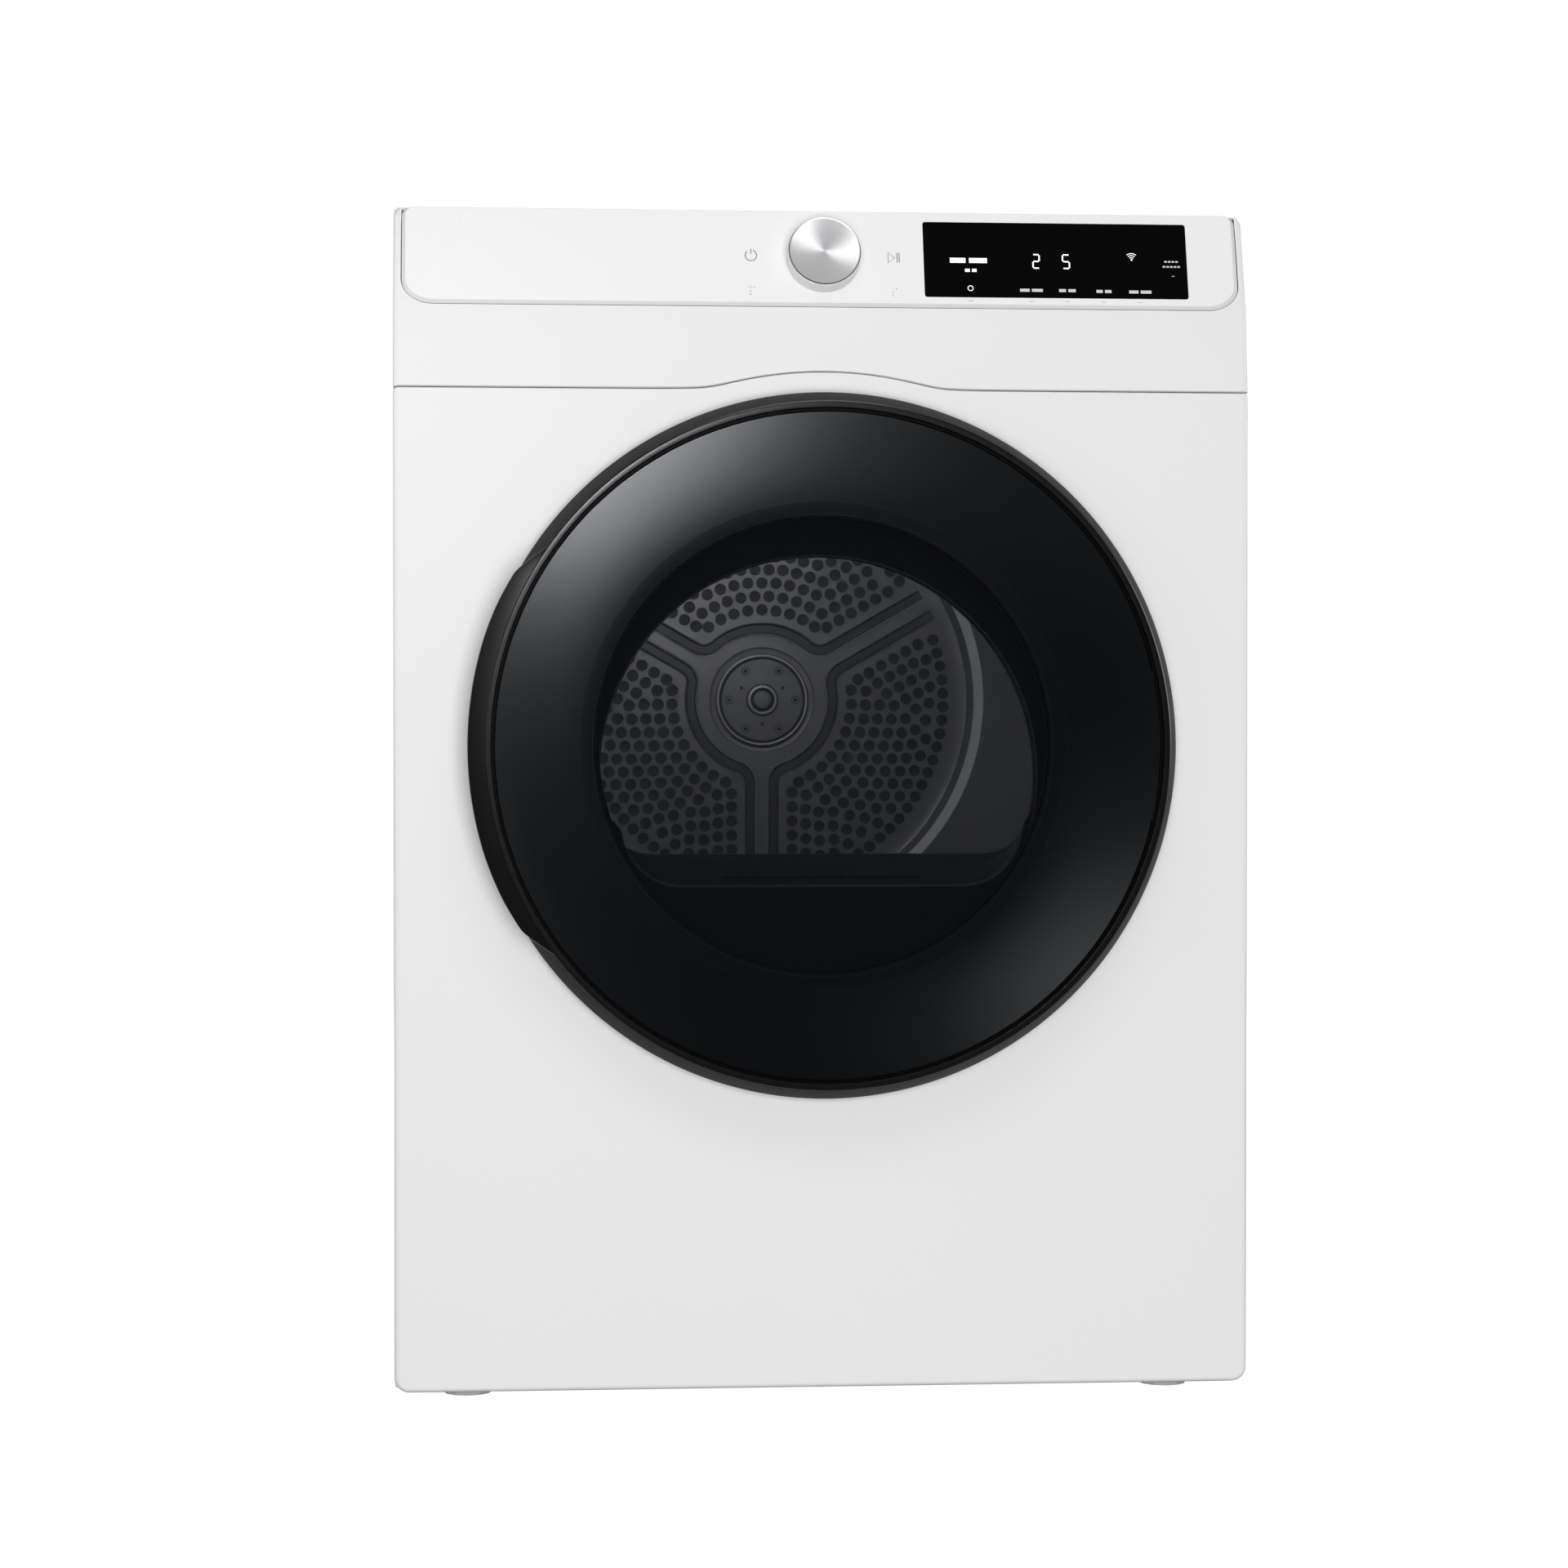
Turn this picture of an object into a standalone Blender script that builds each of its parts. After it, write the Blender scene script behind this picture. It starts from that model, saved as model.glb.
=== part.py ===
"""Front-load clothes dryer as an assembly of separate named solids, in metres, +Z up.

The machine faces -Y. The origin is at the middle of its footprint, on the floor. Depths are counted
from the face of the steel front panel: "ahead" is towards the user (-Y), "deep" is into the machine.
"""
from math import atan2, cos, degrees, pi, radians, sin, sqrt

import bmesh
import bpy
from mathutils import Euler, Matrix, Vector

# ---- driving dimensions ---------------------------------------------------------------------------
WIDTH = 0.686
HEIGHT = 0.955
DEPTH = 0.797
GAP = 0.0003                     # between pieces that touch
SHEET = 0.0012                   # cabinet steel
WALL = 0.0025                    # moulded plastic

DOOR_PROUD = 0.046               # the door's front, ahead of the front panel
FACE_Y = DOOR_PROUD - DEPTH / 2
CABINET_BACK_Y = DEPTH / 2 - 0.020
SKIRT_Z = 0.010                  # underside of the cabinet with the feet screwed home
SIDE_X = WIDTH / 2
SEAM_Z = 0.8085                  # joint between the front panel and the trim above it
SEAM_RADIUS = 0.2985             # the joint's rise over the door is concentric with the door

DOOR_Z = 0.524
PORT_RADIUS = 0.226              # hole in the front panel
DOOR_RADIUS = 0.2814
RIM_RADIUS = 0.2719
RIM_INNER = 0.2655
DISH_RADIUS = 0.2606
WINDOW_RADIUS = 0.1845
EAR_RADIUS = 0.2849
HINGE_X, HINGE_AHEAD = 0.2635, 0.024
HINGE_ARM_Z = 0.045              # each hinge arm, above and below the door's centre

DRUM_Z = 0.567
DRUM_RADIUS = 0.322
DRUM_NECK = 0.3107
DRUM_SHEET = 0.0012
DRUM_PAN_DEEP = 0.650            # front of the drum's rear wall
BULKHEAD_DEEP = 0.052

FASCIA_LEAN = radians(16.5)
FASCIA_DEEP, FASCIA_Z = 0.008, 0.8752
FASCIA_HALF, FASCIA_RISE = 0.3365, 0.0824
KNOB_UP = 0.0403                 # knob axis, up the fascia from its lower edge

BLOWER_X, BLOWER_Z = 0.085, 0.125
EXHAUST_X, EXHAUST_Z, EXHAUST_RADIUS = -0.075, 0.082, 0.051
IDLER_X, IDLER_Z, IDLER_RADIUS = -0.060, 0.165, 0.020
PULLEY_RADIUS = 0.011
BELT_DEEP = 0.330
FOOT_X, FOOT_Y = 0.285, 0.290

FRONT_VIEW = Euler((pi / 2, 0, 0))          # local X, Y, Z become X, Z and "ahead"
SIDE_VIEW = Euler((pi / 2, 0, pi / 2))      # local X, Y, Z become Y, Z and X
PLAN_VIEW = Euler((0, 0, 0))
LARGE, MEDIUM, SMALL = 48, 24, 12           # sides of a round piece

for leftover in list(bpy.data.objects):
    bpy.data.objects.remove(leftover, do_unlink=True)

parts = bpy.data.collections.new("clothes_dryer")
cutters = bpy.data.collections.new("cutters")
for collection in (parts, cutters):
    bpy.context.scene.collection.children.link(collection)


# ---- materials ------------------------------------------------------------------------------------
def material(name, colour, roughness, metallic=0.0, alpha=1.0):
    made = bpy.data.materials.new(name)
    made.use_nodes = True
    shader = made.node_tree.nodes["Principled BSDF"]
    shader.inputs["Base Color"].default_value = (*colour, 1.0)
    shader.inputs["Roughness"].default_value = roughness
    shader.inputs["Metallic"].default_value = metallic
    shader.inputs["Alpha"].default_value = alpha
    return made


WHITE_STEEL = material("white_steel", (0.86, 0.86, 0.87), 0.30)
WHITE_PLASTIC = material("white_plastic", (0.88, 0.88, 0.89), 0.35)
GALVANISED = material("galvanised", (0.62, 0.64, 0.66), 0.40, 1.0)
DRUM_STEEL = material("drum_steel", (0.50, 0.51, 0.53), 0.35, 1.0)
ALUMINIUM = material("aluminium", (0.80, 0.80, 0.81), 0.28, 1.0)
BLACK_GLOSS = material("black_gloss", (0.012, 0.013, 0.016), 0.08)
BLACK_SATIN = material("black_satin", (0.035, 0.035, 0.037), 0.45)
DARK_PLASTIC = material("dark_plastic", (0.06, 0.06, 0.065), 0.55)
GREY_PLASTIC = material("grey_plastic", (0.45, 0.46, 0.48), 0.55)
SMOKED_GLASS = material("smoked_glass", (0.05, 0.055, 0.06), 0.03, 0.0, 0.35)
RUBBER = material("rubber", (0.03, 0.03, 0.03), 0.80)
FELT = material("felt", (0.40, 0.39, 0.37), 0.95)
BOARD_GREEN = material("board_green", (0.03, 0.20, 0.09), 0.50)
COPPER_WIRE = material("heater_wire", (0.45, 0.36, 0.30), 0.45, 1.0)


# ---- building blocks ------------------------------------------------------------------------------
def place(obj, location, rotation=PLAN_VIEW):
    obj.location = location
    obj.rotation_euler = rotation
    return obj


def finish(obj, name, look, smooth=False):
    obj.name = name
    obj.data.name = name
    obj.data.materials.clear()
    obj.data.materials.append(look)
    if smooth:
        obj.data.shade_smooth()
        obj.data.set_sharp_from_angle(angle=radians(35))
    return obj


def new_object(bm, collection=None):
    mesh = bpy.data.meshes.new("mesh")
    bm.to_mesh(mesh)
    bm.free()
    obj = bpy.data.objects.new("piece", mesh)
    (collection or parts).objects.link(obj)
    return obj


def box(low, high):
    """A box between two corners given in world axes."""
    size = [b - a for a, b in zip(low, high)]
    centre = [(a + b) / 2 for a, b in zip(low, high)]
    bm = bmesh.new()
    bmesh.ops.create_cube(bm, size=1.0)
    bmesh.ops.scale(bm, vec=size, verts=bm.verts)
    return place(new_object(bm), centre)


def slab_box(x, deep, z):
    """A box given by its spans in X, in depth behind the front panel's face, and in Z."""
    return box((x[0], FACE_Y + deep[0], z[0]), (x[1], FACE_Y + deep[1], z[1]))


def rod(radius, start, end, sides=SMALL):
    start, end = Vector(start), Vector(end)
    bm = bmesh.new()
    bmesh.ops.create_cone(bm, cap_ends=True, segments=sides, radius1=radius, radius2=radius,
                          depth=(end - start).length)
    obj = place(new_object(bm), (start + end) / 2)
    obj.rotation_euler = Vector((0, 0, 1)).rotation_difference(end - start).to_euler()
    return obj


def rod_along_depth(radius, x, z, deep, sides=SMALL):
    return rod(radius, (x, FACE_Y + deep[0], z), (x, FACE_Y + deep[1], z), sides)


def turned(loops, location, rotation=FRONT_VIEW, steps=LARGE):
    """A turned piece: each loop lists (radius, height) down the outer side and back up the inside.

    A loop that starts and ends on the axis is left open there.
    """
    bm = bmesh.new()
    for loop in loops:
        verts = [bm.verts.new((radius, 0, height)) for radius, height in loop]
        for first, second in zip(verts, verts[1:]):
            bm.edges.new((first, second))
        if loop[0][0] > 0:
            bm.edges.new((verts[-1], verts[0]))
    obj = place(new_object(bm), location, rotation)
    screw = obj.modifiers.new("turn", "SCREW")
    screw.steps = screw.render_steps = steps
    screw.use_merge_vertices = True
    screw.merge_threshold = 0.00001
    return obj


def ring(inner, outer, deep, x=0.0, z=DOOR_Z, steps=LARGE):
    """A plain ring about a depth-wise axis, between two depths behind the front panel's face."""
    loop = [(outer, -deep[0]), (outer, -deep[1]), (inner, -deep[1]), (inner, -deep[0])]
    return turned([loop], (x, FACE_Y, z), FRONT_VIEW, steps)


def outline(loops, thickness, location, rotation=FRONT_VIEW):
    """A flat piece from closed outlines, its holes listed after its edge, as a welded mesh."""
    curve = bpy.data.curves.new("outline", "CURVE")
    curve.dimensions = "2D"
    curve.fill_mode = "BOTH"
    curve.extrude = thickness / 2
    for loop in loops:
        spline = curve.splines.new("POLY")
        spline.points.add(len(loop) - 1)
        for point, (u, v) in zip(spline.points, loop):
            point.co = (u, v, 0, 1)
        spline.use_cyclic_u = True
    return as_mesh(place(bpy.data.objects.new("outline", curve), location, rotation))


def as_mesh(curve_object):
    """The curve as a mesh object with its caps welded on."""
    parts.objects.link(curve_object)
    bpy.context.view_layer.update()
    evaluated = curve_object.evaluated_get(bpy.context.evaluated_depsgraph_get())
    mesh = bpy.data.meshes.new_from_object(evaluated)
    bm = bmesh.new()
    bm.from_mesh(mesh)
    bmesh.ops.remove_doubles(bm, verts=bm.verts, dist=0.000001)
    bmesh.ops.recalc_face_normals(bm, faces=bm.faces)
    bm.to_mesh(mesh)
    bm.free()
    obj = bpy.data.objects.new("piece", mesh)
    obj.matrix_world = curve_object.matrix_world
    parts.objects.link(obj)
    bpy.data.objects.remove(curve_object, do_unlink=True)
    return obj


def combine(obj, other, operation):
    """Cut or join another solid into this one; the other becomes a hidden tool."""
    for owner in list(other.users_collection):
        owner.objects.unlink(other)
    cutters.objects.link(other)
    other.hide_render = True
    other.display_type = "WIRE"
    boolean = obj.modifiers.new(operation.lower(), "BOOLEAN")
    boolean.operation = operation
    boolean.solver = "EXACT"
    boolean.object = other
    return obj


def cut(obj, *tools):
    for tool in tools:
        combine(obj, tool, "DIFFERENCE")
    return obj


def join(obj, *others):
    for other in others:
        combine(obj, other, "UNION")
    return obj


def arc(centre, radius, start, end, count):
    """Points along an arc, with its angles in degrees."""
    steps = [radians(start + (end - start) * i / (count - 1)) for i in range(count)]
    rx, ry = radius if isinstance(radius, tuple) else (radius, radius)
    return [(centre[0] + rx * cos(a), centre[1] + ry * sin(a)) for a in steps]


def circle(centre, radius, count):
    return arc(centre, radius, 0, 360, count + 1)[:-1]


def rounded_rectangle(low, high, lower_corner, upper_corner, count=5):
    """A rectangle with elliptical corners, each pair given as (half width, half height)."""
    (x0, y0), (x1, y1) = low, high
    (la, lb), (ua, ub) = lower_corner, upper_corner
    return (arc((x0 + la, y0 + lb), (la, lb), 180, 270, count)
            + arc((x1 - la, y0 + lb), (la, lb), 270, 360, count)
            + arc((x1 - ua, y1 - ub), (ua, ub), 0, 90, count)
            + arc((x0 + ua, y1 - ub), (ua, ub), 90, 180, count))


def hull_of_circles(circles, offset, count=30):
    """The outline of a band stretched round circles (x, z, radius) listed anticlockwise."""
    points = []
    total = len(circles)
    for i, (x, z, radius) in enumerate(circles):
        before, after = circles[i - 1], circles[(i + 1) % total]
        start = degrees(contact_angle(before, (x, z, radius)))
        end = degrees(contact_angle((x, z, radius), after))
        while end < start:
            end += 360
        steps = max(3, int(count * (end - start) / 360) + 1)
        points += arc((x, z), radius + offset, start, end, steps)
    return points


def contact_angle(first, second):
    """Direction of the outward normal of the outer tangent that runs from one circle to the next."""
    dx, dz = second[0] - first[0], second[1] - first[1]
    length = sqrt(dx * dx + dz * dz)
    lean = (first[2] - second[2]) / length
    return atan2(dz, dx) - pi / 2 + atan2(lean, sqrt(1 - lean * lean))


def seam_height(x):
    """Height of the joint between front panel and trim: level, with a rise over the door."""
    rise = DOOR_Z + sqrt(max(SEAM_RADIUS ** 2 - x * x, 0.0))
    blend = 0.004
    return (rise + SEAM_Z + sqrt((rise - SEAM_Z) ** 2 + blend ** 2)) / 2


def seam_points(shift):
    """The curved middle of the joint, from right to left."""
    return [(0.0130 * i, seam_height(0.0130 * i) + shift) for i in range(10, -11, -1)]


def tray(low, high, wall, open_side):
    """A thin box open on one side, which is given as (axis, which end)."""
    outer = box(low, high)
    inner_low, inner_high = [v + wall for v in low], [v - wall for v in high]
    axis, end = open_side
    if end:
        inner_high[axis] = high[axis] + wall
    else:
        inner_low[axis] = low[axis] - wall
    return cut(outer, box(inner_low, inner_high))


# ---- cabinet --------------------------------------------------------------------------------------
PANEL_RETURN = 0.028             # how far the front panel's edges fold back
TRIM_BACK = 0.047                # back edge of the upper trim
TOP_RETURN = 0.015
SIDE_RETURN = 0.015
LATCH_X = -0.2435
SWITCH_Z = DOOR_Z - 0.055
VENT_RADIUS = 0.200
HEATER_X = (0.200, 0.310)
HEATER_Z = (0.045, 0.290)
HEATER_Y = (0.270, CABINET_BACK_Y - SHEET - GAP)
CORD_ENTRY_X, CORD_ENTRY_Z = -0.220, 0.770


def panel_outline(inset):
    corner, top_corner = 0.012 - inset, 0.0035 - inset
    left, right, bottom = -SIDE_X + inset, SIDE_X - inset, SKIRT_Z + inset
    top = seam_height(SIDE_X) - inset - 0.0004
    return (arc((left + corner, bottom + corner), corner, 180, 270, 6)
            + arc((right - corner, bottom + corner), corner, 270, 360, 6)
            + arc((right - top_corner, top - top_corner), top_corner, 0, 90, 3)
            + seam_points(-inset - 0.0004)
            + arc((left + top_corner, top - top_corner), top_corner, 90, 180, 3))


def front_panel():
    """Steel skin with folded edges, the door port, the latch slot and the switch hole."""
    panel = outline([panel_outline(0)], PANEL_RETURN, (0, FACE_Y + PANEL_RETURN / 2, 0))
    hollow = outline([panel_outline(SHEET)], PANEL_RETURN, (0, FACE_Y + PANEL_RETURN / 2 + SHEET, 0))
    port = rod_along_depth(PORT_RADIUS, 0, DOOR_Z, (-0.01, 0.02), LARGE)
    latch = slab_box((LATCH_X - 0.007, LATCH_X + 0.0105), (-0.01, 0.01), (DOOR_Z - 0.013, DOOR_Z + 0.013))
    switch = rod_along_depth(0.005, LATCH_X, SWITCH_Z, (-0.01, 0.01), 16)
    finish(cut(panel, hollow, port, latch, switch), "front_panel", WHITE_STEEL)


def side_panels():
    """Folded steel sides, notched where the upper trim comes further back than the front panel."""
    for name, side in (("side_panel_left", -1), ("side_panel_right", 1)):
        outer_x, inner_x = side * SIDE_X, side * (SIDE_X - SIDE_RETURN)
        low = (min(outer_x, inner_x), FACE_Y + PANEL_RETURN + 0.0005, SKIRT_Z)
        high = (max(outer_x, inner_x), CABINET_BACK_Y - SHEET - GAP, HEIGHT - TOP_RETURN - 0.0005)
        panel = tray(low, high, SHEET, (0, 0 if side > 0 else 1))
        notch = slab_box((low[0] - 0.01, high[0] + 0.01), (0, TRIM_BACK + 0.0005), (SEAM_Z, HEIGHT))
        finish(cut(panel, notch), name, WHITE_STEEL)


def top_cover():
    low = (-SIDE_X, FACE_Y + TRIM_BACK + 0.0005, HEIGHT - TOP_RETURN)
    high = (SIDE_X, CABINET_BACK_Y, HEIGHT)
    finish(tray(low, high, SHEET, (2, 0)), "top_cover", WHITE_STEEL)


def rear_panel():
    """Flat steel back with the air vent, the heater's outlet, the exhaust hole and the cord entry."""
    y = (CABINET_BACK_Y - SHEET, CABINET_BACK_Y)
    panel = box((-SIDE_X, y[0], SKIRT_Z), (SIDE_X, y[1], HEIGHT - TOP_RETURN - 0.0005))
    through = (y[0] - 0.01, y[1] + 0.01)

    def hole(x, z, radius, sides):
        return rod(radius, (x, through[0], z), (x, through[1], z), sides)

    outlet = box((HEATER_X[0] + 0.007, through[0], 0.195), (HEATER_X[1] - 0.007, through[1], 0.275))
    cut(panel, hole(0, DRUM_Z, VENT_RADIUS, LARGE), outlet,
        hole(EXHAUST_X, EXHAUST_Z, EXHAUST_RADIUS + 0.0015, MEDIUM),
        hole(CORD_ENTRY_X, CORD_ENTRY_Z, 0.011, SMALL))
    finish(panel, "rear_panel", GALVANISED)


def rear_duct_cover():
    """Shallow cover over the vent and the heater's outlet, which it joins."""
    circles = [(0, DRUM_Z, 0.2220), (0.255, 0.240, 0.060)][::-1]
    depth = DEPTH / 2 - CABINET_BACK_Y - GAP
    middle = CABINET_BACK_Y + GAP + depth / 2
    cover = outline([hull_of_circles(circles, 0, 36)], depth, (0, middle, 0))
    hollow = outline([hull_of_circles(circles, -0.0015, 36)], depth, (0, middle - 0.0015, 0))
    finish(cut(cover, hollow), "rear_duct_cover", GALVANISED)


def base_pan():
    low = (-SIDE_X + 0.008, FACE_Y + 0.032, SKIRT_Z + SHEET + GAP)
    high = (SIDE_X - 0.008, CABINET_BACK_Y - 0.008, 0.029)
    pan = tray(low, high, 0.0015, (2, 1))
    for x in (-FOOT_X, FOOT_X):
        for y in (-FOOT_Y, FOOT_Y):
            cut(pan, rod(0.0062, (x, y, 0), (x, y, 0.03), 16))
    finish(pan, "base_pan", GALVANISED)


def feet():
    """Levelling feet, screwed home: the pad stands on the floor and the stem is in the base pan."""
    pad, stem = 0.019, 0.0055
    profile = [(0, 0.055), (stem, 0.055), (stem, 0.0085), (0.013, 0.0085), (pad, 0.0045), (pad, 0), (0, 0)]
    for name, x, y in (("foot_front_left", -1, -1), ("foot_front_right", 1, -1),
                       ("foot_rear_left", -1, 1), ("foot_rear_right", 1, 1)):
        foot = turned([profile], (x * FOOT_X, y * FOOT_Y, 0), PLAN_VIEW, SMALL)
        finish(foot, name, DARK_PLASTIC, smooth=True)


# ---- upper trim and controls ----------------------------------------------------------------------
LEAN_FRAME = (Matrix.Translation((0, FACE_Y + FASCIA_DEEP, FASCIA_Z))
              @ Matrix.Rotation(pi / 2 - FASCIA_LEAN, 4, "X"))
DISPLAY = ((0.0812, 0.0084), (0.2958, 0.0742))
FASCIA_PROUD = 0.002


def on_fascia(obj, u, v, n):
    """Stand an object on the leaning fascia: u across, v up the slope, n out of the face."""
    obj.matrix_world = LEAN_FRAME @ Matrix.Translation((u, v, n))
    return obj


def fascia_plate(loops, low, high):
    plate = outline(loops, high - low, (0, 0, 0), PLAN_VIEW)
    return on_fascia(plate, 0, 0, (low + high) / 2)


def fascia_box(u, v, n):
    size = (u[1] - u[0], v[1] - v[0], n[1] - n[0])
    bm = bmesh.new()
    bmesh.ops.create_cube(bm, size=1.0)
    bmesh.ops.scale(bm, vec=size, verts=bm.verts)
    return on_fascia(new_object(bm), sum(u) / 2, sum(v) / 2, sum(n) / 2)


def fascia_rod(radius, u, v, n, sides=SMALL):
    bm = bmesh.new()
    bmesh.ops.create_cone(bm, cap_ends=True, segments=sides, radius1=radius, radius2=radius,
                          depth=n[1] - n[0])
    return on_fascia(new_object(bm), u, v, sum(n) / 2)


def fascia_outline(grow):
    low = (-FASCIA_HALF - grow, -grow)
    high = (FASCIA_HALF + grow, FASCIA_RISE + grow)
    return rounded_rectangle(low, high, (0.025, 0.020), (0.008, 0.008), 7)


def trim_profile(inset, back):
    """Side profile of the trim as (depth, height): a lower band, the leaning face and the top."""
    lean_run = 0.0763
    upper_deep = FASCIA_DEEP + lean_run * sin(FASCIA_LEAN) / cos(FASCIA_LEAN)
    top = HEIGHT - inset
    points = [(0, 0.80), (0, SEAM_Z), (FASCIA_DEEP, FASCIA_Z), (upper_deep, FASCIA_Z + lean_run)]
    front = [(FACE_Y + deep + inset, z) for deep, z in points]
    return front + [(FACE_Y + 0.040 + inset, top), (FACE_Y + back, top), (FACE_Y + back, 0.80)]


def front_trim():
    """Moulded housing over the front panel, open behind and below, with the fascia's opening."""
    profile = trim_profile(0, TRIM_BACK)[::-1]
    hollow = [(y, z - 0.01 if z < SEAM_Z else z) for y, z in trim_profile(WALL, TRIM_BACK + 0.02)][::-1]
    trim = outline([profile], WIDTH, (0, 0, 0), SIDE_VIEW)
    inside = outline([hollow], WIDTH - 2 * WALL, (0, 0, 0), SIDE_VIEW)
    below = [(-0.36, 0.78), (0.36, 0.78), (0.36, seam_height(SIDE_X) + 0.0004)]
    below += seam_points(0.0004) + [(-0.36, seam_height(SIDE_X) + 0.0004)]
    seam = outline([below], 0.10, (0, FACE_Y + 0.03, 0))
    mouth = [(u, v + 0.02 if v > FASCIA_RISE - 0.0085 else v) for u, v in fascia_outline(0.0004)]
    opening = fascia_plate([mouth], -0.0040, 0.010)
    finish(cut(trim, inside, seam, opening), "front_trim", WHITE_PLASTIC)


def control_panel():
    (u0, v0), (u1, v1) = DISPLAY
    slot = rounded_rectangle((u0, v0), (u1, v1), (0.0025, 0.0025), (0.0025, 0.0025), 3)
    shaft_hole = circle((0, KNOB_UP), 0.0042, 16)
    panel = fascia_plate([fascia_outline(0), slot, shaft_hole], -0.0035, FASCIA_PROUD)
    finish(panel, "control_panel", WHITE_PLASTIC)


def display():
    (u0, v0), (u1, v1) = DISPLAY
    low, high = (u0 + GAP, v0 + GAP), (u1 - GAP, v1 - GAP)
    window = rounded_rectangle(low, high, (0.0022, 0.0022), (0.0022, 0.0022), 3)
    finish(fascia_plate([window], -0.0010, FASCIA_PROUD + 0.0002), "display_window", BLACK_GLOSS)
    board = fascia_box((u0 + 0.004, u1 - 0.004), (0.012, 0.072), (-0.0065, -0.0045))
    finish(board, "display_board", BOARD_GREEN)


def control_box():
    """Open case of the main electronics, under the top cover."""
    case = tray((-0.290, -0.250, 0.900), (-0.100, -0.100, 0.934), 0.002, (2, 1))
    finish(case, "control_case", GREY_PLASTIC)


def knob():
    """Programme knob: a plastic body with its shaft, under a turned aluminium cap."""
    radius, shaft = 0.0295, 0.0035
    body = [(0, 0.0172), (radius - 0.0010, 0.0172), (radius, 0.0160), (radius, 0.0026),
            (shaft, 0.0026), (shaft, -0.0120), (0, -0.0120)]
    base = Vector((0, 0, 0))
    skirt = turned([body], base, PLAN_VIEW, 32)
    finish(on_fascia(skirt, 0, KNOB_UP, 0), "knob_body", WHITE_PLASTIC, smooth=True)
    cap = [(0, 0.0190), (radius - 0.0012, 0.0190), (radius - 0.0006, 0.0184), (radius - 0.0006, 0.0175),
           (0, 0.0175)]
    disc = turned([cap], base, PLAN_VIEW, 32)
    finish(on_fascia(disc, 0, KNOB_UP, 0), "knob_cap", ALUMINIUM, smooth=True)
    encoder = fascia_box((-0.012, 0.012), (KNOB_UP - 0.012, KNOB_UP + 0.012), (-0.0140, -0.0045))
    cut(encoder, fascia_rod(0.0040, 0, KNOB_UP, (-0.0130, 0.0)))
    finish(encoder, "knob_encoder", GREY_PLASTIC)


# ---- bulkhead, drum and its bearings --------------------------------------------------------------
PORT_HALF = 0.178                # half width of the drum's mouth in the bulkhead
PORT_CENTRE_Z = 0.4995
PORT_SILL_Z = 0.4357
FILTER_HALF = 0.100
DUCT_HALF = 0.112
DUCT_DEEP = (0.0175, 0.0480)
COLLAR_RADIUS = 0.240
GLIDE_RADIUS = 0.3005


def drum_mouth():
    """The mouth: round above, with a level sill and rounded lower corners."""
    fillet = 0.040
    drop = PORT_CENTRE_Z - PORT_SILL_Z
    corner_x = sqrt((PORT_HALF - fillet) ** 2 - (drop - fillet) ** 2)
    corner_z = PORT_SILL_Z + fillet
    touch = degrees(atan2(corner_z - PORT_CENTRE_Z, corner_x))
    return (arc((0, PORT_CENTRE_Z), PORT_HALF, touch, 180 - touch, 26)
            + arc((-corner_x, corner_z), fillet, 180 - touch, 270, 5)[1:]
            + arc((corner_x, corner_z), fillet, 270, 360 + touch, 5)[:-1])


def front_bulkhead():
    """Pressed plate that closes the drum: a throat to the front panel and a glide for the drum."""
    plate_loop = rounded_rectangle((-0.330, 0.240), (0.330, 0.925), (0.02, 0.02), (0.02, 0.02), 3)
    middle = FACE_Y + BULKHEAD_DEEP + 0.00075
    plate = outline([plate_loop, drum_mouth()], 0.0015, (0, middle, 0))
    throat = ring(COLLAR_RADIUS, COLLAR_RADIUS + 0.0015, (SHEET + GAP, BULKHEAD_DEEP + 0.0008))
    glide = ring(GLIDE_RADIUS - 0.0015, GLIDE_RADIUS, (BULKHEAD_DEEP + 0.0008, 0.088), z=DRUM_Z)
    duct_room = slab_box((-DUCT_HALF - 0.001, DUCT_HALF + 0.001), (0, DUCT_DEEP[1] + 0.0015), (0.2, 0.4360))
    latch_room = slab_box((-0.260, -0.225), (0, 0.030), (SWITCH_Z - 0.016, DOOR_Z + 0.021))
    throat = cut(throat, duct_room, latch_room)
    finish(join(plate, throat, glide), "front_bulkhead", DARK_PLASTIC)


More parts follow.
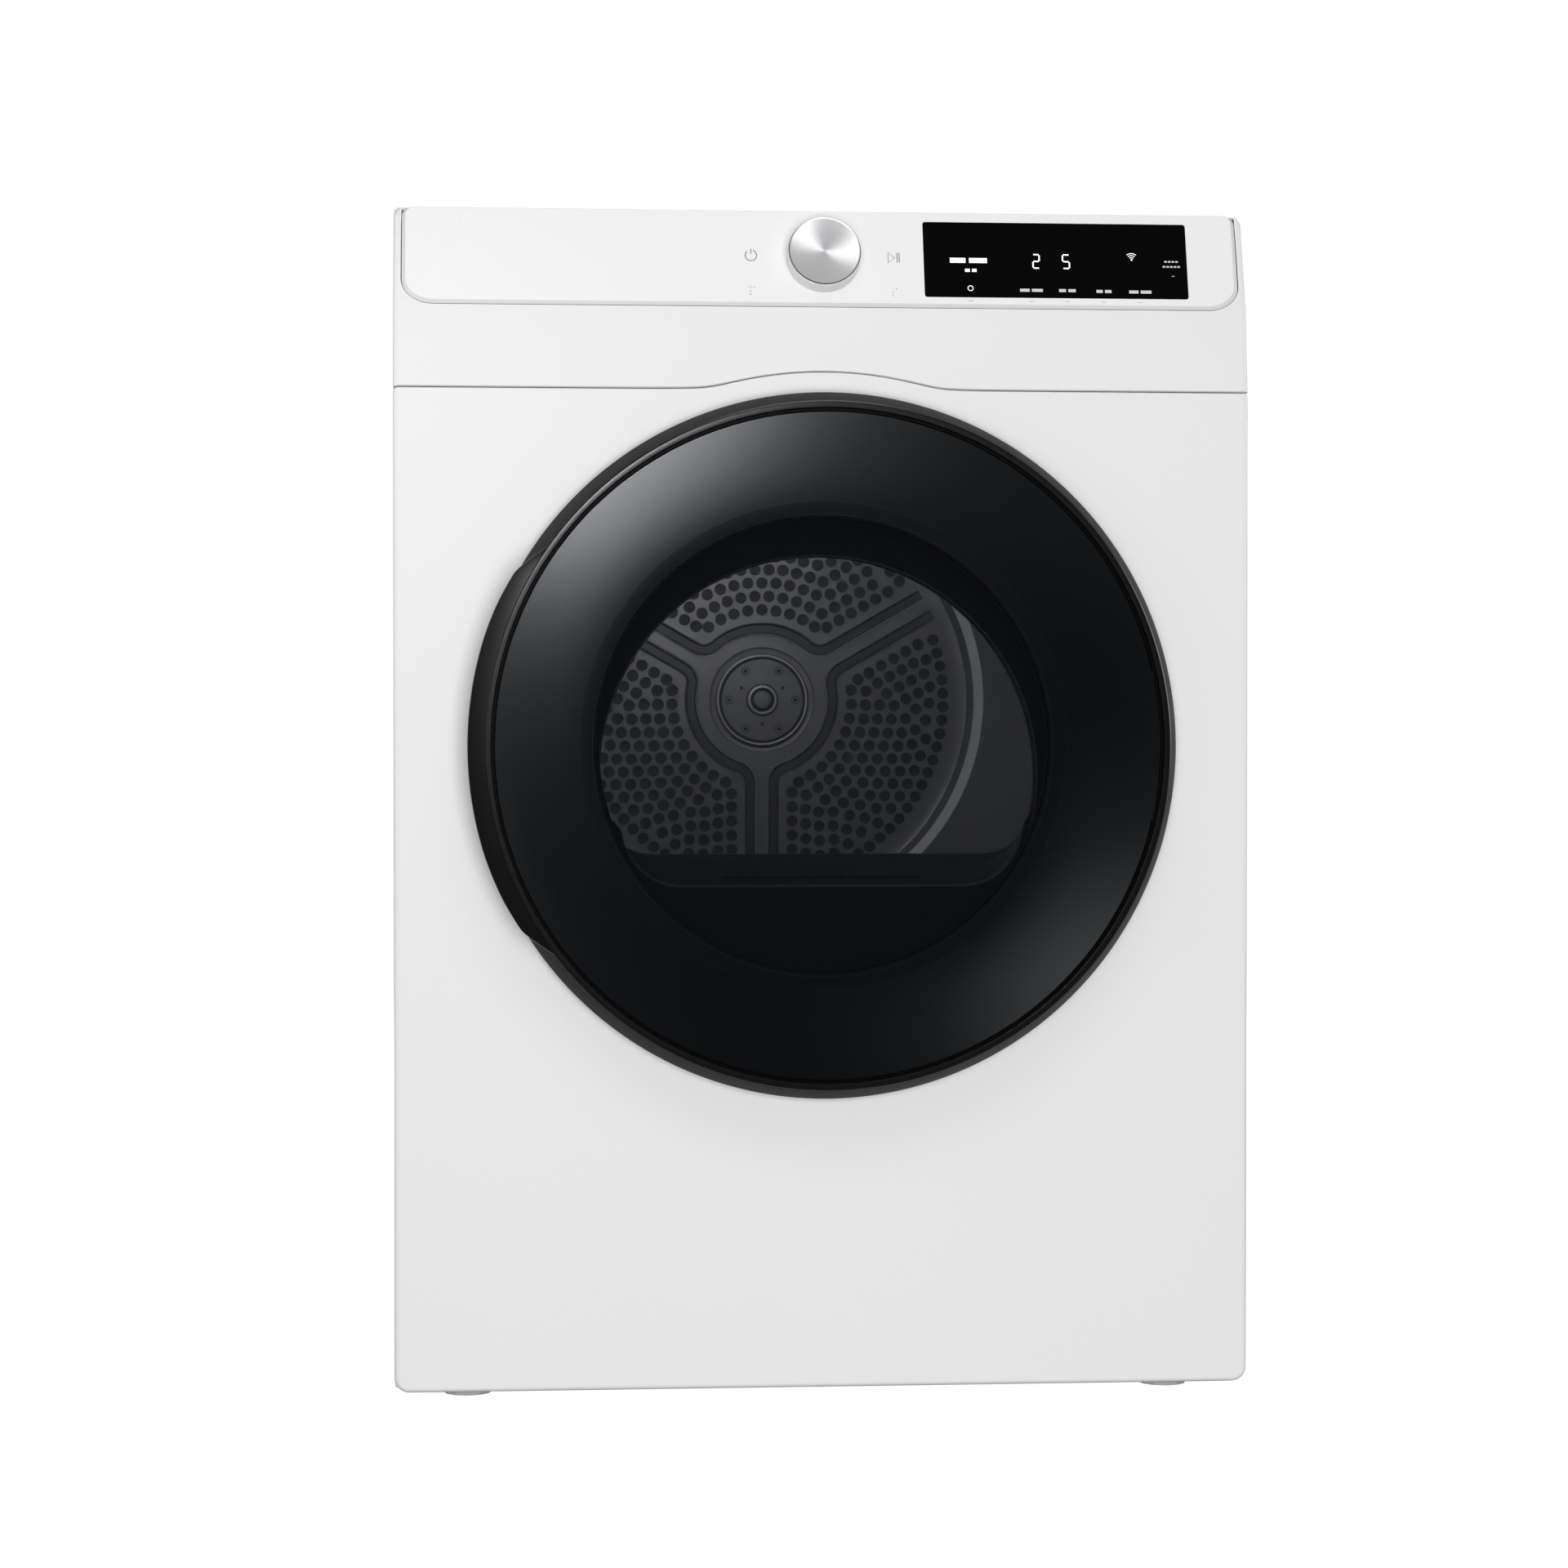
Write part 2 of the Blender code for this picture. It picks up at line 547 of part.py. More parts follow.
def drum():
    """Shell with a narrowed front neck, the recessed rear wall, three lifters and the hub."""
    outer, skin, neck = DRUM_RADIUS, DRUM_SHEET, DRUM_NECK
    shell = [(neck, -0.0600), (neck, -0.0850), (outer, -0.0950), (outer, -0.6180), (outer - 0.010, -0.6330),
             (outer - 0.027, -0.6334), (outer - 0.027, -0.6334 + skin), (outer - 0.0105, -0.6330 + skin),
             (outer - skin, -0.6175), (outer - skin, -0.0955), (neck - skin, -0.0855), (neck - skin, -0.0600)]
    finish(turned([shell], (0, FACE_Y, DRUM_Z)), "drum_shell", DRUM_STEEL, smooth=True)

    deep, skin = -DRUM_PAN_DEEP, 0.0015
    back = [(0.3060, -0.6300), (0.3060, -0.6315), (0.2145, -0.6315), (0.2006, deep - skin),
            (0.0130, deep - skin), (0.0130, deep), (0.1994, deep), (0.2133, -0.6300)]
    finish(turned([back], (0, FACE_Y, DRUM_Z)), "drum_back", DRUM_STEEL, smooth=True)

    shaft, front = 0.0125, deep + GAP
    hub = [(0, front + 0.0080), (0.0095, front + 0.0080), (0.0146, front + 0.0055), (0.0146, front + 0.0030),
           (0.0440, front + 0.0030), (0.0451, front + 0.0015), (0.0451, front), (shaft, front),
           (shaft, -0.7150), (0, -0.7150)]
    finish(turned([hub], (0, FACE_Y, DRUM_Z), steps=MEDIUM), "drum_hub", ALUMINIUM, smooth=True)

    base_r, tip_r = 0.3176, 0.275
    lifter = [(-0.035, base_r), (-0.030, base_r - 0.008), (-0.014, tip_r + 0.004), (0, tip_r),
              (0.014, tip_r + 0.004), (0.030, base_r - 0.008), (0.035, base_r)]
    for number, angle in enumerate((30, 150, 270), start=1):
        middle = FACE_Y + 0.360
        obj = outline([lifter], 0.460, (0, middle, DRUM_Z), Euler((pi / 2, radians(90 - angle), 0)))
        finish(obj, f"drum_lifter_{number}", DARK_PLASTIC)


def drum_supports():
    """Felt glide in front; behind, an air shroud with a three-armed bearing carrier inside it."""
    seal = ring(GLIDE_RADIUS + GAP, DRUM_NECK - DRUM_SHEET - 0.0015, (0.0615, 0.0840), z=DRUM_Z)
    finish(seal, "drum_front_seal", FELT)

    back = CABINET_BACK_Y - SHEET - GAP - FACE_Y
    shroud = ring(0.2230, 0.2245, (0.6400, back), z=DRUM_Z)
    finish(shroud, "rear_shroud", GALVANISED)
    finish(ring(0.2190, 0.2285, (0.6320, 0.6397), z=DRUM_Z), "drum_rear_seal", FELT)

    carrier = ring(0.0210, 0.0300, (0.6990, 0.7150), z=DRUM_Z, steps=24)
    for angle in (90, 210, 330):
        direction = Vector((cos(radians(angle)), 0, sin(radians(angle))))
        arm = box((-0.009, -0.007, 0.0), (0.009, 0.007, 0.195))
        arm.location = Vector((0, FACE_Y + 0.7070, DRUM_Z)) + direction * (0.0270 + 0.195 / 2)
        arm.rotation_euler = (0, radians(90 - angle), 0)
        join(carrier, arm)
    finish(carrier, "bearing_carrier", GALVANISED)
    bearing = ring(0.0128, 0.0207, (0.6970, 0.7170), z=DRUM_Z, steps=24)
    finish(bearing, "drum_bearing", GREY_PLASTIC, smooth=True)


def bulkhead_fittings():
    lamp = rod_along_depth(0.018, -0.150, 0.690, (BULKHEAD_DEEP + 0.0018, 0.0600), 24)
    finish(lamp, "drum_lamp", SMOKED_GLASS, smooth=True)
    sensor = slab_box((-0.050, 0.050), (BULKHEAD_DEEP + 0.0018, 0.0570), (0.398, 0.420))
    finish(sensor, "moisture_sensor", ALUMINIUM)


# ---- drive ----------------------------------------------------------------------------------------
def drive_belt():
    circles = [(0, DRUM_Z, DRUM_RADIUS), (IDLER_X, IDLER_Z, IDLER_RADIUS),
               (BLOWER_X, BLOWER_Z, PULLEY_RADIUS)]
    inner = hull_of_circles(circles, 0.0014, 40)
    outer = hull_of_circles(circles, 0.0039, 40)
    belt = outline([outer, inner], 0.008, (0, FACE_Y + BELT_DEEP, 0))
    finish(belt, "drive_belt", RUBBER)


def motor():
    """Motor can on a saddle; its shaft carries the belt pulley behind and the blower in front."""
    can = [(0.030, -0.1500), (0.054, -0.1500), (0.060, -0.1560), (0.060, -0.2840), (0.054, -0.2900),
           (0.0068, -0.2900), (0.0068, -0.1500)]
    finish(turned([can], (BLOWER_X, FACE_Y, BLOWER_Z), steps=MEDIUM), "motor_body", GALVANISED, smooth=True)

    shaft, groove = 0.0060, PULLEY_RADIUS
    profile = [(0, -0.0640), (shaft, -0.0640), (shaft, -0.3180), (groove + 0.003, -0.3180),
               (groove + 0.003, -0.3235), (groove, -0.3245), (groove, -0.3355), (groove + 0.003, -0.3365),
               (groove + 0.003, -0.3420), (0, -0.3420)]
    rotor = turned([profile], (BLOWER_X, FACE_Y, BLOWER_Z), steps=24)
    finish(rotor, "motor_shaft", ALUMINIUM, smooth=True)

    saddle = slab_box((0.030, 0.140), (0.170, 0.298), (0.0145, 0.105))
    cut(saddle, rod_along_depth(0.0605, BLOWER_X, BLOWER_Z, (0.10, 0.2905), MEDIUM),
        rod_along_depth(0.0180, BLOWER_X, BLOWER_Z, (0.28, 0.31), 16),
        slab_box((0.045, 0.125), (0.16, 0.31), (0.030, 0.052)))
    finish(saddle, "motor_saddle", GALVANISED)


def idler():
    lower, upper = (0.042, 0.050), (IDLER_X, IDLER_Z)
    plate = hull_of_circles([(*upper, 0.011), (*lower, 0.012)], 0, 20)
    arm = outline([plate], 0.005, (0, FACE_Y + 0.3015, 0))
    join(arm, rod_along_depth(0.0045, *upper, (0.3020, 0.3460)))
    finish(arm, "idler_arm", GALVANISED)
    flange = IDLER_RADIUS + 0.003
    wheel = [(flange, -0.3180), (flange, -0.3235), (IDLER_RADIUS, -0.3245), (IDLER_RADIUS, -0.3355),
             (flange, -0.3365), (flange, -0.3420), (0.0048, -0.3420), (0.0048, -0.3180)]
    pulley = turned([wheel], (IDLER_X, FACE_Y, IDLER_Z), steps=24)
    finish(pulley, "idler_pulley", DARK_PLASTIC, smooth=True)


# ---- air path -------------------------------------------------------------------------------------
def blower():
    """Scroll housing with its side outlet, and the wheel on the motor's shaft."""
    case = rod_along_depth(0.098, BLOWER_X, BLOWER_Z, (0.0485, 0.1250), MEDIUM)
    outlet_x, outlet_z = (-0.132, BLOWER_X), (0.0275, 0.1380)
    join(case, slab_box(outlet_x, (0.0540, 0.1195), outlet_z))
    wall = 0.002
    cut(case, rod_along_depth(0.098 - wall, BLOWER_X, BLOWER_Z, (0.0485 + wall, 0.1250 - wall), MEDIUM),
        slab_box((outlet_x[0] + wall, outlet_x[1]), (0.0540 + wall, 0.1195 - wall),
                 (outlet_z[0] + wall, outlet_z[1] - wall)),
        rod_along_depth(0.055, BLOWER_X, BLOWER_Z, (0.04, 0.06), 28),
        rod_along_depth(0.008, BLOWER_X, BLOWER_Z, (0.11, 0.13), 16),
        rod_along_depth(EXHAUST_RADIUS - 0.003, EXHAUST_X, EXHAUST_Z, (0.11, 0.13), 28))
    finish(case, "blower_housing", GREY_PLASTIC)

    wheel = [(0.0850, -0.0600), (0.0850, -0.1150), (0.0063, -0.1150), (0.0063, -0.0800), (0.0140, -0.0800),
             (0.0140, -0.1125), (0.0760, -0.1125), (0.0760, -0.0600)]
    impeller = turned([wheel], (BLOWER_X, FACE_Y, BLOWER_Z), steps=MEDIUM)
    blades = 10
    bm = bmesh.new()
    for number in range(blades):
        made = bmesh.ops.create_cube(bm, size=1.0)
        verts = made["verts"]
        bmesh.ops.scale(bm, vec=(0.024, 0.0370, 0.026), verts=verts)
        bmesh.ops.translate(bm, vec=(0.0, 0.0, 0.0800), verts=verts)
        bmesh.ops.rotate(bm, matrix=Matrix.Rotation(2 * pi * number / blades, 3, "Y"), verts=verts)
    cut(impeller, place(new_object(bm), (BLOWER_X, FACE_Y + 0.0875, BLOWER_Z)))
    finish(impeller, "blower_wheel", DARK_PLASTIC)


def duct_outline(inset):
    """Front view of the duct that leads from the filter down to the blower's inlet."""
    half, reach = DUCT_HALF - inset, 0.075 - inset
    lower = arc((BLOWER_X, BLOWER_Z), reach, 216, 370, 16)
    return [(-half, 0.4280 - inset), (-half, 0.270)] + lower + [(half + 0.010, 0.250), (half, 0.280),
                                                                (half, 0.4280 - inset)]


def lint_duct():
    middle, thickness = FACE_Y + sum(DUCT_DEEP) / 2, DUCT_DEEP[1] - DUCT_DEEP[0]
    wall = 0.0018
    duct = outline([duct_outline(0)], thickness, (0, middle, 0))
    hollow = outline([duct_outline(wall)], thickness - 2 * wall, (0, middle, 0))
    half = FILTER_HALF + 0.0015
    slot = slab_box((-half, half), (0.0195, 0.0345), (0.420, 0.440))
    inlet = rod_along_depth(0.055, BLOWER_X, BLOWER_Z, (0.040, 0.060), 28)
    finish(cut(duct, hollow, slot, inlet), "lint_duct", DARK_PLASTIC)


def lint_filter():
    """Filter frame with its lid, which is the ledge under the drum's mouth, and the screen in it."""
    half = FILTER_HALF
    frame = slab_box((-half, half), (0.0200, 0.0330), (0.2850, 0.4300))
    window = slab_box((-half + 0.008, half - 0.008), (0.0, 0.06), (0.2930, 0.4200))
    pocket = slab_box((-half + 0.003, half - 0.003), (0.0255, 0.0275), (0.2880, 0.4350))
    lid = [(FACE_Y + 0.0185, 0.4285), (FACE_Y + 0.0500, 0.4285), (FACE_Y + 0.0500, 0.4345),
           (FACE_Y + 0.0460, 0.4345), (FACE_Y + 0.0185, 0.4320)]
    cut(frame, window, pocket)
    join(frame, outline([lid], 2 * DUCT_HALF - 0.002, (0, 0, 0), SIDE_VIEW))
    finish(frame, "lint_filter_frame", DARK_PLASTIC)
    screen = slab_box((-half + 0.0034, half - 0.0034), (0.0259, 0.0271), (0.2884, 0.4278))
    finish(screen, "lint_filter_screen", GREY_PLASTIC)


def exhaust_pipe():
    back = DEPTH / 2 - 0.0015 - FACE_Y
    pipe = ring(EXHAUST_RADIUS - 0.0010, EXHAUST_RADIUS, (0.1198, back), EXHAUST_X, EXHAUST_Z, MEDIUM)
    finish(pipe, "exhaust_pipe", GALVANISED, smooth=True)


def heater():
    """Upright sheet-metal duct, open below and towards the rear cover, with a wire coil inside."""
    low = (HEATER_X[0], HEATER_Y[0], HEATER_Z[0])
    high = (HEATER_X[1], HEATER_Y[1], HEATER_Z[1])
    case = tray(low, high, 0.0010, (2, 0))
    cut(case, box((HEATER_X[0] + 0.008, HEATER_Y[1] - 0.01, 0.196), (HEATER_X[1] - 0.008, HEATER_Y[1] + 0.01, 0.274)))
    finish(case, "heater_case", GALVANISED)

    turns, per_turn, radius, bottom, rise = 6, 8, 0.032, 0.080, 0.100
    centre = Vector((sum(HEATER_X) / 2, sum(HEATER_Y) / 2, 0))
    curve = bpy.data.curves.new("coil", "CURVE")
    curve.dimensions = "3D"
    curve.bevel_depth = 0.0022
    curve.bevel_resolution = 2
    curve.use_fill_caps = True
    spline = curve.splines.new("POLY")
    count = turns * per_turn
    spline.points.add(count)
    for i, point in enumerate(spline.points):
        angle = 2 * pi * i / per_turn
        point.co = (centre.x + radius * cos(angle), centre.y + radius * sin(angle), bottom + rise * i / count, 1)
    finish(as_mesh(bpy.data.objects.new("coil", curve)), "heater_coil", COPPER_WIRE, smooth=True)


def terminal_block():
    """Supply terminals on the back, above the cord entry."""
    y0 = CABINET_BACK_Y + GAP
    block = box((-0.250, y0, 0.800), (-0.190, y0 + 0.016, 0.836))
    for x in (-0.238, -0.220, -0.202):
        cut(block, rod(0.0055, (x, y0 + 0.008, 0.818), (x, y0 + 0.03, 0.818), 12))
    finish(block, "terminal_block", DARK_PLASTIC)


# ---- door -----------------------------------------------------------------------------------------
RING_BACK = 0.0060               # back of the door, ahead of the front panel
DISH_RIM_AHEAD, DISH_FLOOR_AHEAD = 0.0415, -0.0080
EAR_START, EAR_END = 147, 214    # degrees round the door, anticlockwise from its right


def door_place():
    return (0, FACE_Y, DOOR_Z)


def door_box(x, ahead, z):
    return slab_box(x, (-ahead[1], -ahead[0]), (DOOR_Z + z[0], DOOR_Z + z[1]))


def sector(inner, outer, ahead, start, end, count):
    """A ring segment about the door's axis."""
    loop = arc((0, 0), outer, start, end, count) + arc((0, 0), inner, end, start, count)
    return outline([loop], ahead[1] - ahead[0], (0, FACE_Y - sum(ahead) / 2, DOOR_Z))


def door_side_ring():
    """Hollow outer ring of the door, with the finger pocket and the notches for the hinge arms."""
    outer = [(0.2722, 0.0400), (DOOR_RADIUS, 0.0150), (0.2730, RING_BACK), (0.2320, RING_BACK),
             (0.2320, 0.0085), (0.2605, 0.0085), (0.2605, 0.0330), (0.2723, 0.0330), (0.2697, 0.0400)]
    cavity = [(0.2719, 0.0085), (0.2787, 0.0155), (0.2732, 0.0305), (0.2630, 0.0305), (0.2630, 0.0085)]
    made = turned([outer, cavity], door_place())
    pocket = sector(0.2632, 0.300, (0.0150, 0.0304), 154, 208, 20)
    cut(made, pocket)
    well = door_box((0.2500, 0.2704), (0.0079, 0.0301), (-0.0550, 0.0550))
    for z in (-HINGE_ARM_Z, HINGE_ARM_Z):
        join(well, door_box((0.2430, 0.3000), (0.0, 0.0296), (z - 0.0087, z + 0.0087)))
    cut(made, well)
    finish(made, "door_side_ring", BLACK_SATIN, smooth=True)


def door_rim():
    """Front rim with its groove; on the left it widens into the ear that is pulled."""
    rim = [(0.2690, DOOR_PROUD), (RIM_RADIUS, 0.0432), (RIM_RADIUS, 0.0403), (0.2610, 0.0403),
           (0.2610, 0.0425), (RIM_INNER, 0.0425), (RIM_INNER + 0.0003, DOOR_PROUD)]
    made = turned([rim], door_place())
    count, outer = 24, []
    for i in range(count):
        share = i / (count - 1)
        angle = radians(EAR_START + (EAR_END - EAR_START) * share)
        edge = min(1.0, min(share, 1 - share) / 0.12)
        radius = 0.2705 + (EAR_RADIUS - 0.2705) * edge * edge * (3 - 2 * edge)
        outer.append((radius * cos(angle), radius * sin(angle)))
    loop = outer + arc((0, 0), 0.2680, EAR_END, EAR_START, 16)
    ear = outline([loop], 0.0045, (0, FACE_Y - 0.0427, DOOR_Z))
    finish(join(made, ear), "door_rim", BLACK_SATIN, smooth=True)


def dish_height(radius):
    """Height of the dish's face ahead of the front panel: a bowl that flattens towards the window."""
    share = (radius - 0.1850) / (DISH_RADIUS - 0.1850)
    return DISH_FLOOR_AHEAD + (DISH_RIM_AHEAD - DISH_FLOOR_AHEAD) * share ** 1.3


def door_dish():
    steps, thick = 4, 0.0028
    radii = [0.1850 + (DISH_RADIUS - 0.1850) * i / steps for i in range(steps + 1)]
    face = [(radius, dish_height(radius)) for radius in radii]
    back = [(radius, height - thick) for radius, height in reversed(face)]
    finish(turned([face[-1:] + back + face[:-1]], door_place()), "door_dish", BLACK_GLOSS, smooth=True)


def door_inside():
    """Inner frame that plugs the port, with the strike, the window it carries and the seal."""
    frame = [(0.2440, 0.0057), (0.2440, 0.0031), (0.2190, 0.0031), (0.2190, -0.0165), (0.1790, -0.0165),
             (0.1790, -0.0135), (0.2165, -0.0135), (0.2165, 0.0035), (0.2200, 0.0057)]
    inner = turned([frame], door_place())
    strike = door_box((LATCH_X - 0.0030, LATCH_X + 0.0030), (-0.0190, 0.0045), (-0.009, 0.009))
    hook = door_box((LATCH_X - 0.0030, LATCH_X + 0.0075), (-0.0190, -0.0160), (-0.009, 0.009))
    finish(join(inner, strike, hook), "door_inner_frame", DARK_PLASTIC, smooth=True)

    window = [(0, -0.0095), (WINDOW_RADIUS, -0.0095), (WINDOW_RADIUS, -0.0130), (0, -0.0130)]
    finish(turned([window], door_place()), "door_window", SMOKED_GLASS)
    seal = [(0.2215, -0.0040), (0.2240, -0.0065), (0.2215, -0.0095), (0.2193, -0.0095), (0.2193, -0.0040)]
    finish(turned([seal], door_place()), "door_seal", RUBBER, smooth=True)


def hinge():
    """Goose-neck arms fixed to the front panel; the leaf and pin turn with the door."""
    axis_y = FACE_Y - HINGE_AHEAD
    x, pin = HINGE_X, 0.0030
    neck_half, leg = 0.0020, (x - 0.0160, x - 0.0100)
    foot_y = FACE_Y - GAP
    knuckle = arc((x, axis_y), 0.0060, 160, -160, 16)
    arm = ([(leg[0], axis_y - neck_half)] + [(leg[0], foot_y), (leg[1], foot_y)]
           + [(leg[1], axis_y + neck_half)] + knuckle[::-1])
    base = door_box((0.2390, 0.2700), (GAP, 0.0028), (-0.058, 0.058))
    for z in (-HINGE_ARM_Z, HINGE_ARM_Z):
        join(base, outline([arm, circle((x, axis_y), pin + GAP, 16)], 0.014, (0, 0, DOOR_Z + z), PLAN_VIEW))
    finish(base, "hinge_bracket", GALVANISED)

    leaf_back = FACE_Y - 0.0088
    loop = (arc((x, axis_y), 0.0056, 328, 572 - 360, 14)
            + [(x - 0.0047, leaf_back - 0.0027), (x - 0.0140, leaf_back - 0.0027), (x - 0.0140, leaf_back),
               (x + 0.0065, leaf_back), (x + 0.0065, leaf_back - 0.0027), (x + 0.0047, leaf_back - 0.0027)])
    leaf = outline([loop, circle((x, axis_y), pin + GAP, 16)], 0.068, (0, 0, DOOR_Z), PLAN_VIEW)
    finish(leaf, "hinge_leaf", GALVANISED)
    pin_rod = rod(pin, (x, axis_y, DOOR_Z - 0.0530), (x, axis_y, DOOR_Z + 0.0530), 16)
    finish(pin_rod, "hinge_pin", ALUMINIUM, smooth=True)


def latch_and_switch():
    """Latch box behind the slot; the door's back presses the switch's plunger as it shuts."""
    latch = slab_box((-0.2540, -0.2300), (SHEET + GAP, 0.0240), (DOOR_Z - 0.018, DOOR_Z + 0.018))
    cut(latch, slab_box((-0.2515, -0.2325), (0.0, 0.0225), (DOOR_Z - 0.0140, DOOR_Z + 0.0140)))
    finish(latch, "latch_box", DARK_PLASTIC)
    body = slab_box((-0.2530, -0.2340), (SHEET + GAP, 0.0220), (SWITCH_Z - 0.013, SWITCH_Z + 0.013))
    cut(body, rod_along_depth(0.0047, LATCH_X, SWITCH_Z, (0.0, 0.0205), 16))
    finish(body, "switch_body", GREY_PLASTIC)
    plunger = rod_along_depth(0.0043, LATCH_X, SWITCH_Z, (-0.0056, 0.0150), 16)
    finish(plunger, "switch_plunger", WHITE_PLASTIC, smooth=True)


for build in (front_panel, side_panels, top_cover, rear_panel, rear_duct_cover, base_pan, feet,
              front_trim, control_panel, display, control_box, knob,
              front_bulkhead, drum, drum_supports, bulkhead_fittings,
              drive_belt, motor, idler, blower, lint_duct, lint_filter, exhaust_pipe, heater,
              terminal_block, door_side_ring, door_rim, door_dish, door_inside, hinge, latch_and_switch):
    build()
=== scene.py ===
"""Looks of the clothes dryer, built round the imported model. Metres, +Z up, the machine faces -Y."""

from math import asin, atan2, cos, degrees, hypot, pi, radians, sin, sqrt, tan

import bmesh
import bpy
from mathutils import Matrix, Vector
from mathutils.geometry import tessellate_polygon

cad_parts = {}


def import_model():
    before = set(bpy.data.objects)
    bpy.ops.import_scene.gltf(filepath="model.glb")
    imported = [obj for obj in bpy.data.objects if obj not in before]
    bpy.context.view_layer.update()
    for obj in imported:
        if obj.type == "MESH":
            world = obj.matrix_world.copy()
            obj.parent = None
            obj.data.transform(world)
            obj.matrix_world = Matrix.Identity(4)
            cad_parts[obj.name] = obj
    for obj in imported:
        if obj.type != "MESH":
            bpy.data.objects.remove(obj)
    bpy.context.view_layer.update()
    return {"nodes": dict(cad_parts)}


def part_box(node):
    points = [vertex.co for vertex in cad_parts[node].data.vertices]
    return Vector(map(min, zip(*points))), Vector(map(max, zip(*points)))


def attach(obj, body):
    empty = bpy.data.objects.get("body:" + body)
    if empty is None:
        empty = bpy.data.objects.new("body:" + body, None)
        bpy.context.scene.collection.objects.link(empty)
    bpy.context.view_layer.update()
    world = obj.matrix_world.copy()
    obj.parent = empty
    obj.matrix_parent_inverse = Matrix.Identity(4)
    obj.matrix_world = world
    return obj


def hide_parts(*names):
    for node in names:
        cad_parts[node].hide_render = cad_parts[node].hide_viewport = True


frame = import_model()
nodes = frame["nodes"]

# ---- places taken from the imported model
PANEL_LOW, PANEL_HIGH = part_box("front_panel")
RING_LOW, RING_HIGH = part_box("door_side_ring")
HUB_LOW, HUB_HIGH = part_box("drum_hub")
FACE_Y = PANEL_LOW.y
HALF_WIDTH = PANEL_HIGH.x
SKIRT_Z = PANEL_LOW.z
TOP_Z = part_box("top_cover")[1].z
DOOR_Z = (RING_LOW.z + RING_HIGH.z) / 2
DRUM_Z = (HUB_LOW.z + HUB_HIGH.z) / 2
DRUM_WALL = 0.650                # depth of the drum's rear wall behind the front panel's face

SEAM_Z, SEAM_RADIUS = 0.8085, 0.2985
FASCIA_LEAN = radians(16.5)
FASCIA_DEEP, FASCIA_Z = 0.008, 0.8752
FASCIA_HALF, FASCIA_RISE = 0.3365, 0.0824
KNOB_UP = 0.0403
STEPS = 192                      # sides of a large turned piece


# ---- materials
def add_node(tree, kind, **inputs):
    """A shader node with its inputs set; an underscore in a name stands for a space."""
    made = tree.nodes.new("ShaderNode" + kind)
    for name, value in inputs.items():
        made.inputs[name.replace("_", " ")].default_value = value
    return made


def wire(tree, *links):
    """Join sockets; each link is (node, output, node, input)."""
    for source, output, target, entry in links:
        tree.links.new(source.outputs[output], target.inputs[entry])


def material(name, colour, roughness, metallic=0.0, grain=0.0, grain_size=400.0, spread=0.0, tint=0.0,
             alpha=1.0, specular=0.5):
    """A Principled material; grain is the bump, spread the change in roughness, tint in colour."""
    made = bpy.data.materials.new(name)
    made.use_nodes = True
    tree = made.node_tree
    shader = tree.nodes["Principled BSDF"]
    for socket, value in (("Base Color", (*colour, 1.0)), ("Roughness", roughness), ("Metallic", metallic),
                          ("Coat Roughness", 0.05), ("Alpha", alpha), ("Specular IOR Level", specular)):
        shader.inputs[socket].default_value = value
    if alpha < 1.0:
        return made
    where = add_node(tree, "TexCoord")
    if grain:
        fine = add_node(tree, "TexNoise", Scale=grain_size, Detail=3.0)
        bump = add_node(tree, "Bump", Strength=grain, Distance=0.0005)
        wire(tree, (where, "Object", fine, "Vector"), (fine, "Fac", bump, "Height"),
             (bump, "Normal", shader, "Normal"))
    if spread or tint:
        wide = add_node(tree, "TexNoise", Scale=9.0, Detail=6.0)
        wire(tree, (where, "Object", wide, "Vector"))
    if spread:
        rough = add_node(tree, "MapRange", To_Min=roughness - spread, To_Max=roughness + spread)
        wire(tree, (wide, "Fac", rough, "Value"), (rough, "Result", shader, "Roughness"))
    if tint:
        ramp = add_node(tree, "ValToRGB")
        for end, place, change in zip(ramp.color_ramp.elements, (0.3, 0.7), (1 - tint, 1 + tint)):
            end.position = place
            end.color = (*[min(1.0, c * change) for c in colour], 1.0)
        wire(tree, (wide, "Fac", ramp, "Fac"), (ramp, "Color", shader, "Base Color"))
    return made


def brushed(name, colour, roughness, stretch, metallic):
    """Metal with long fine brush marks; stretch scales the marks along each axis."""
    made = material(name, colour, roughness, metallic)
    tree = made.node_tree
    where, shader = tree.nodes["Texture Coordinate"], tree.nodes["Principled BSDF"]
    mapping = add_node(tree, "Mapping", Scale=stretch)
    marks = add_node(tree, "TexNoise", Scale=60.0, Detail=5.0)
    rough = add_node(tree, "MapRange", To_Min=roughness - 0.08, To_Max=roughness + 0.08)
    bump = add_node(tree, "Bump", Strength=0.06, Distance=0.0004)
    wire(tree, (where, "Object", mapping, "Vector"), (mapping, "Vector", marks, "Vector"),
         (marks, "Fac", rough, "Value"), (rough, "Result", shader, "Roughness"),
         (marks, "Fac", bump, "Height"), (bump, "Normal", shader, "Normal"))
    return made


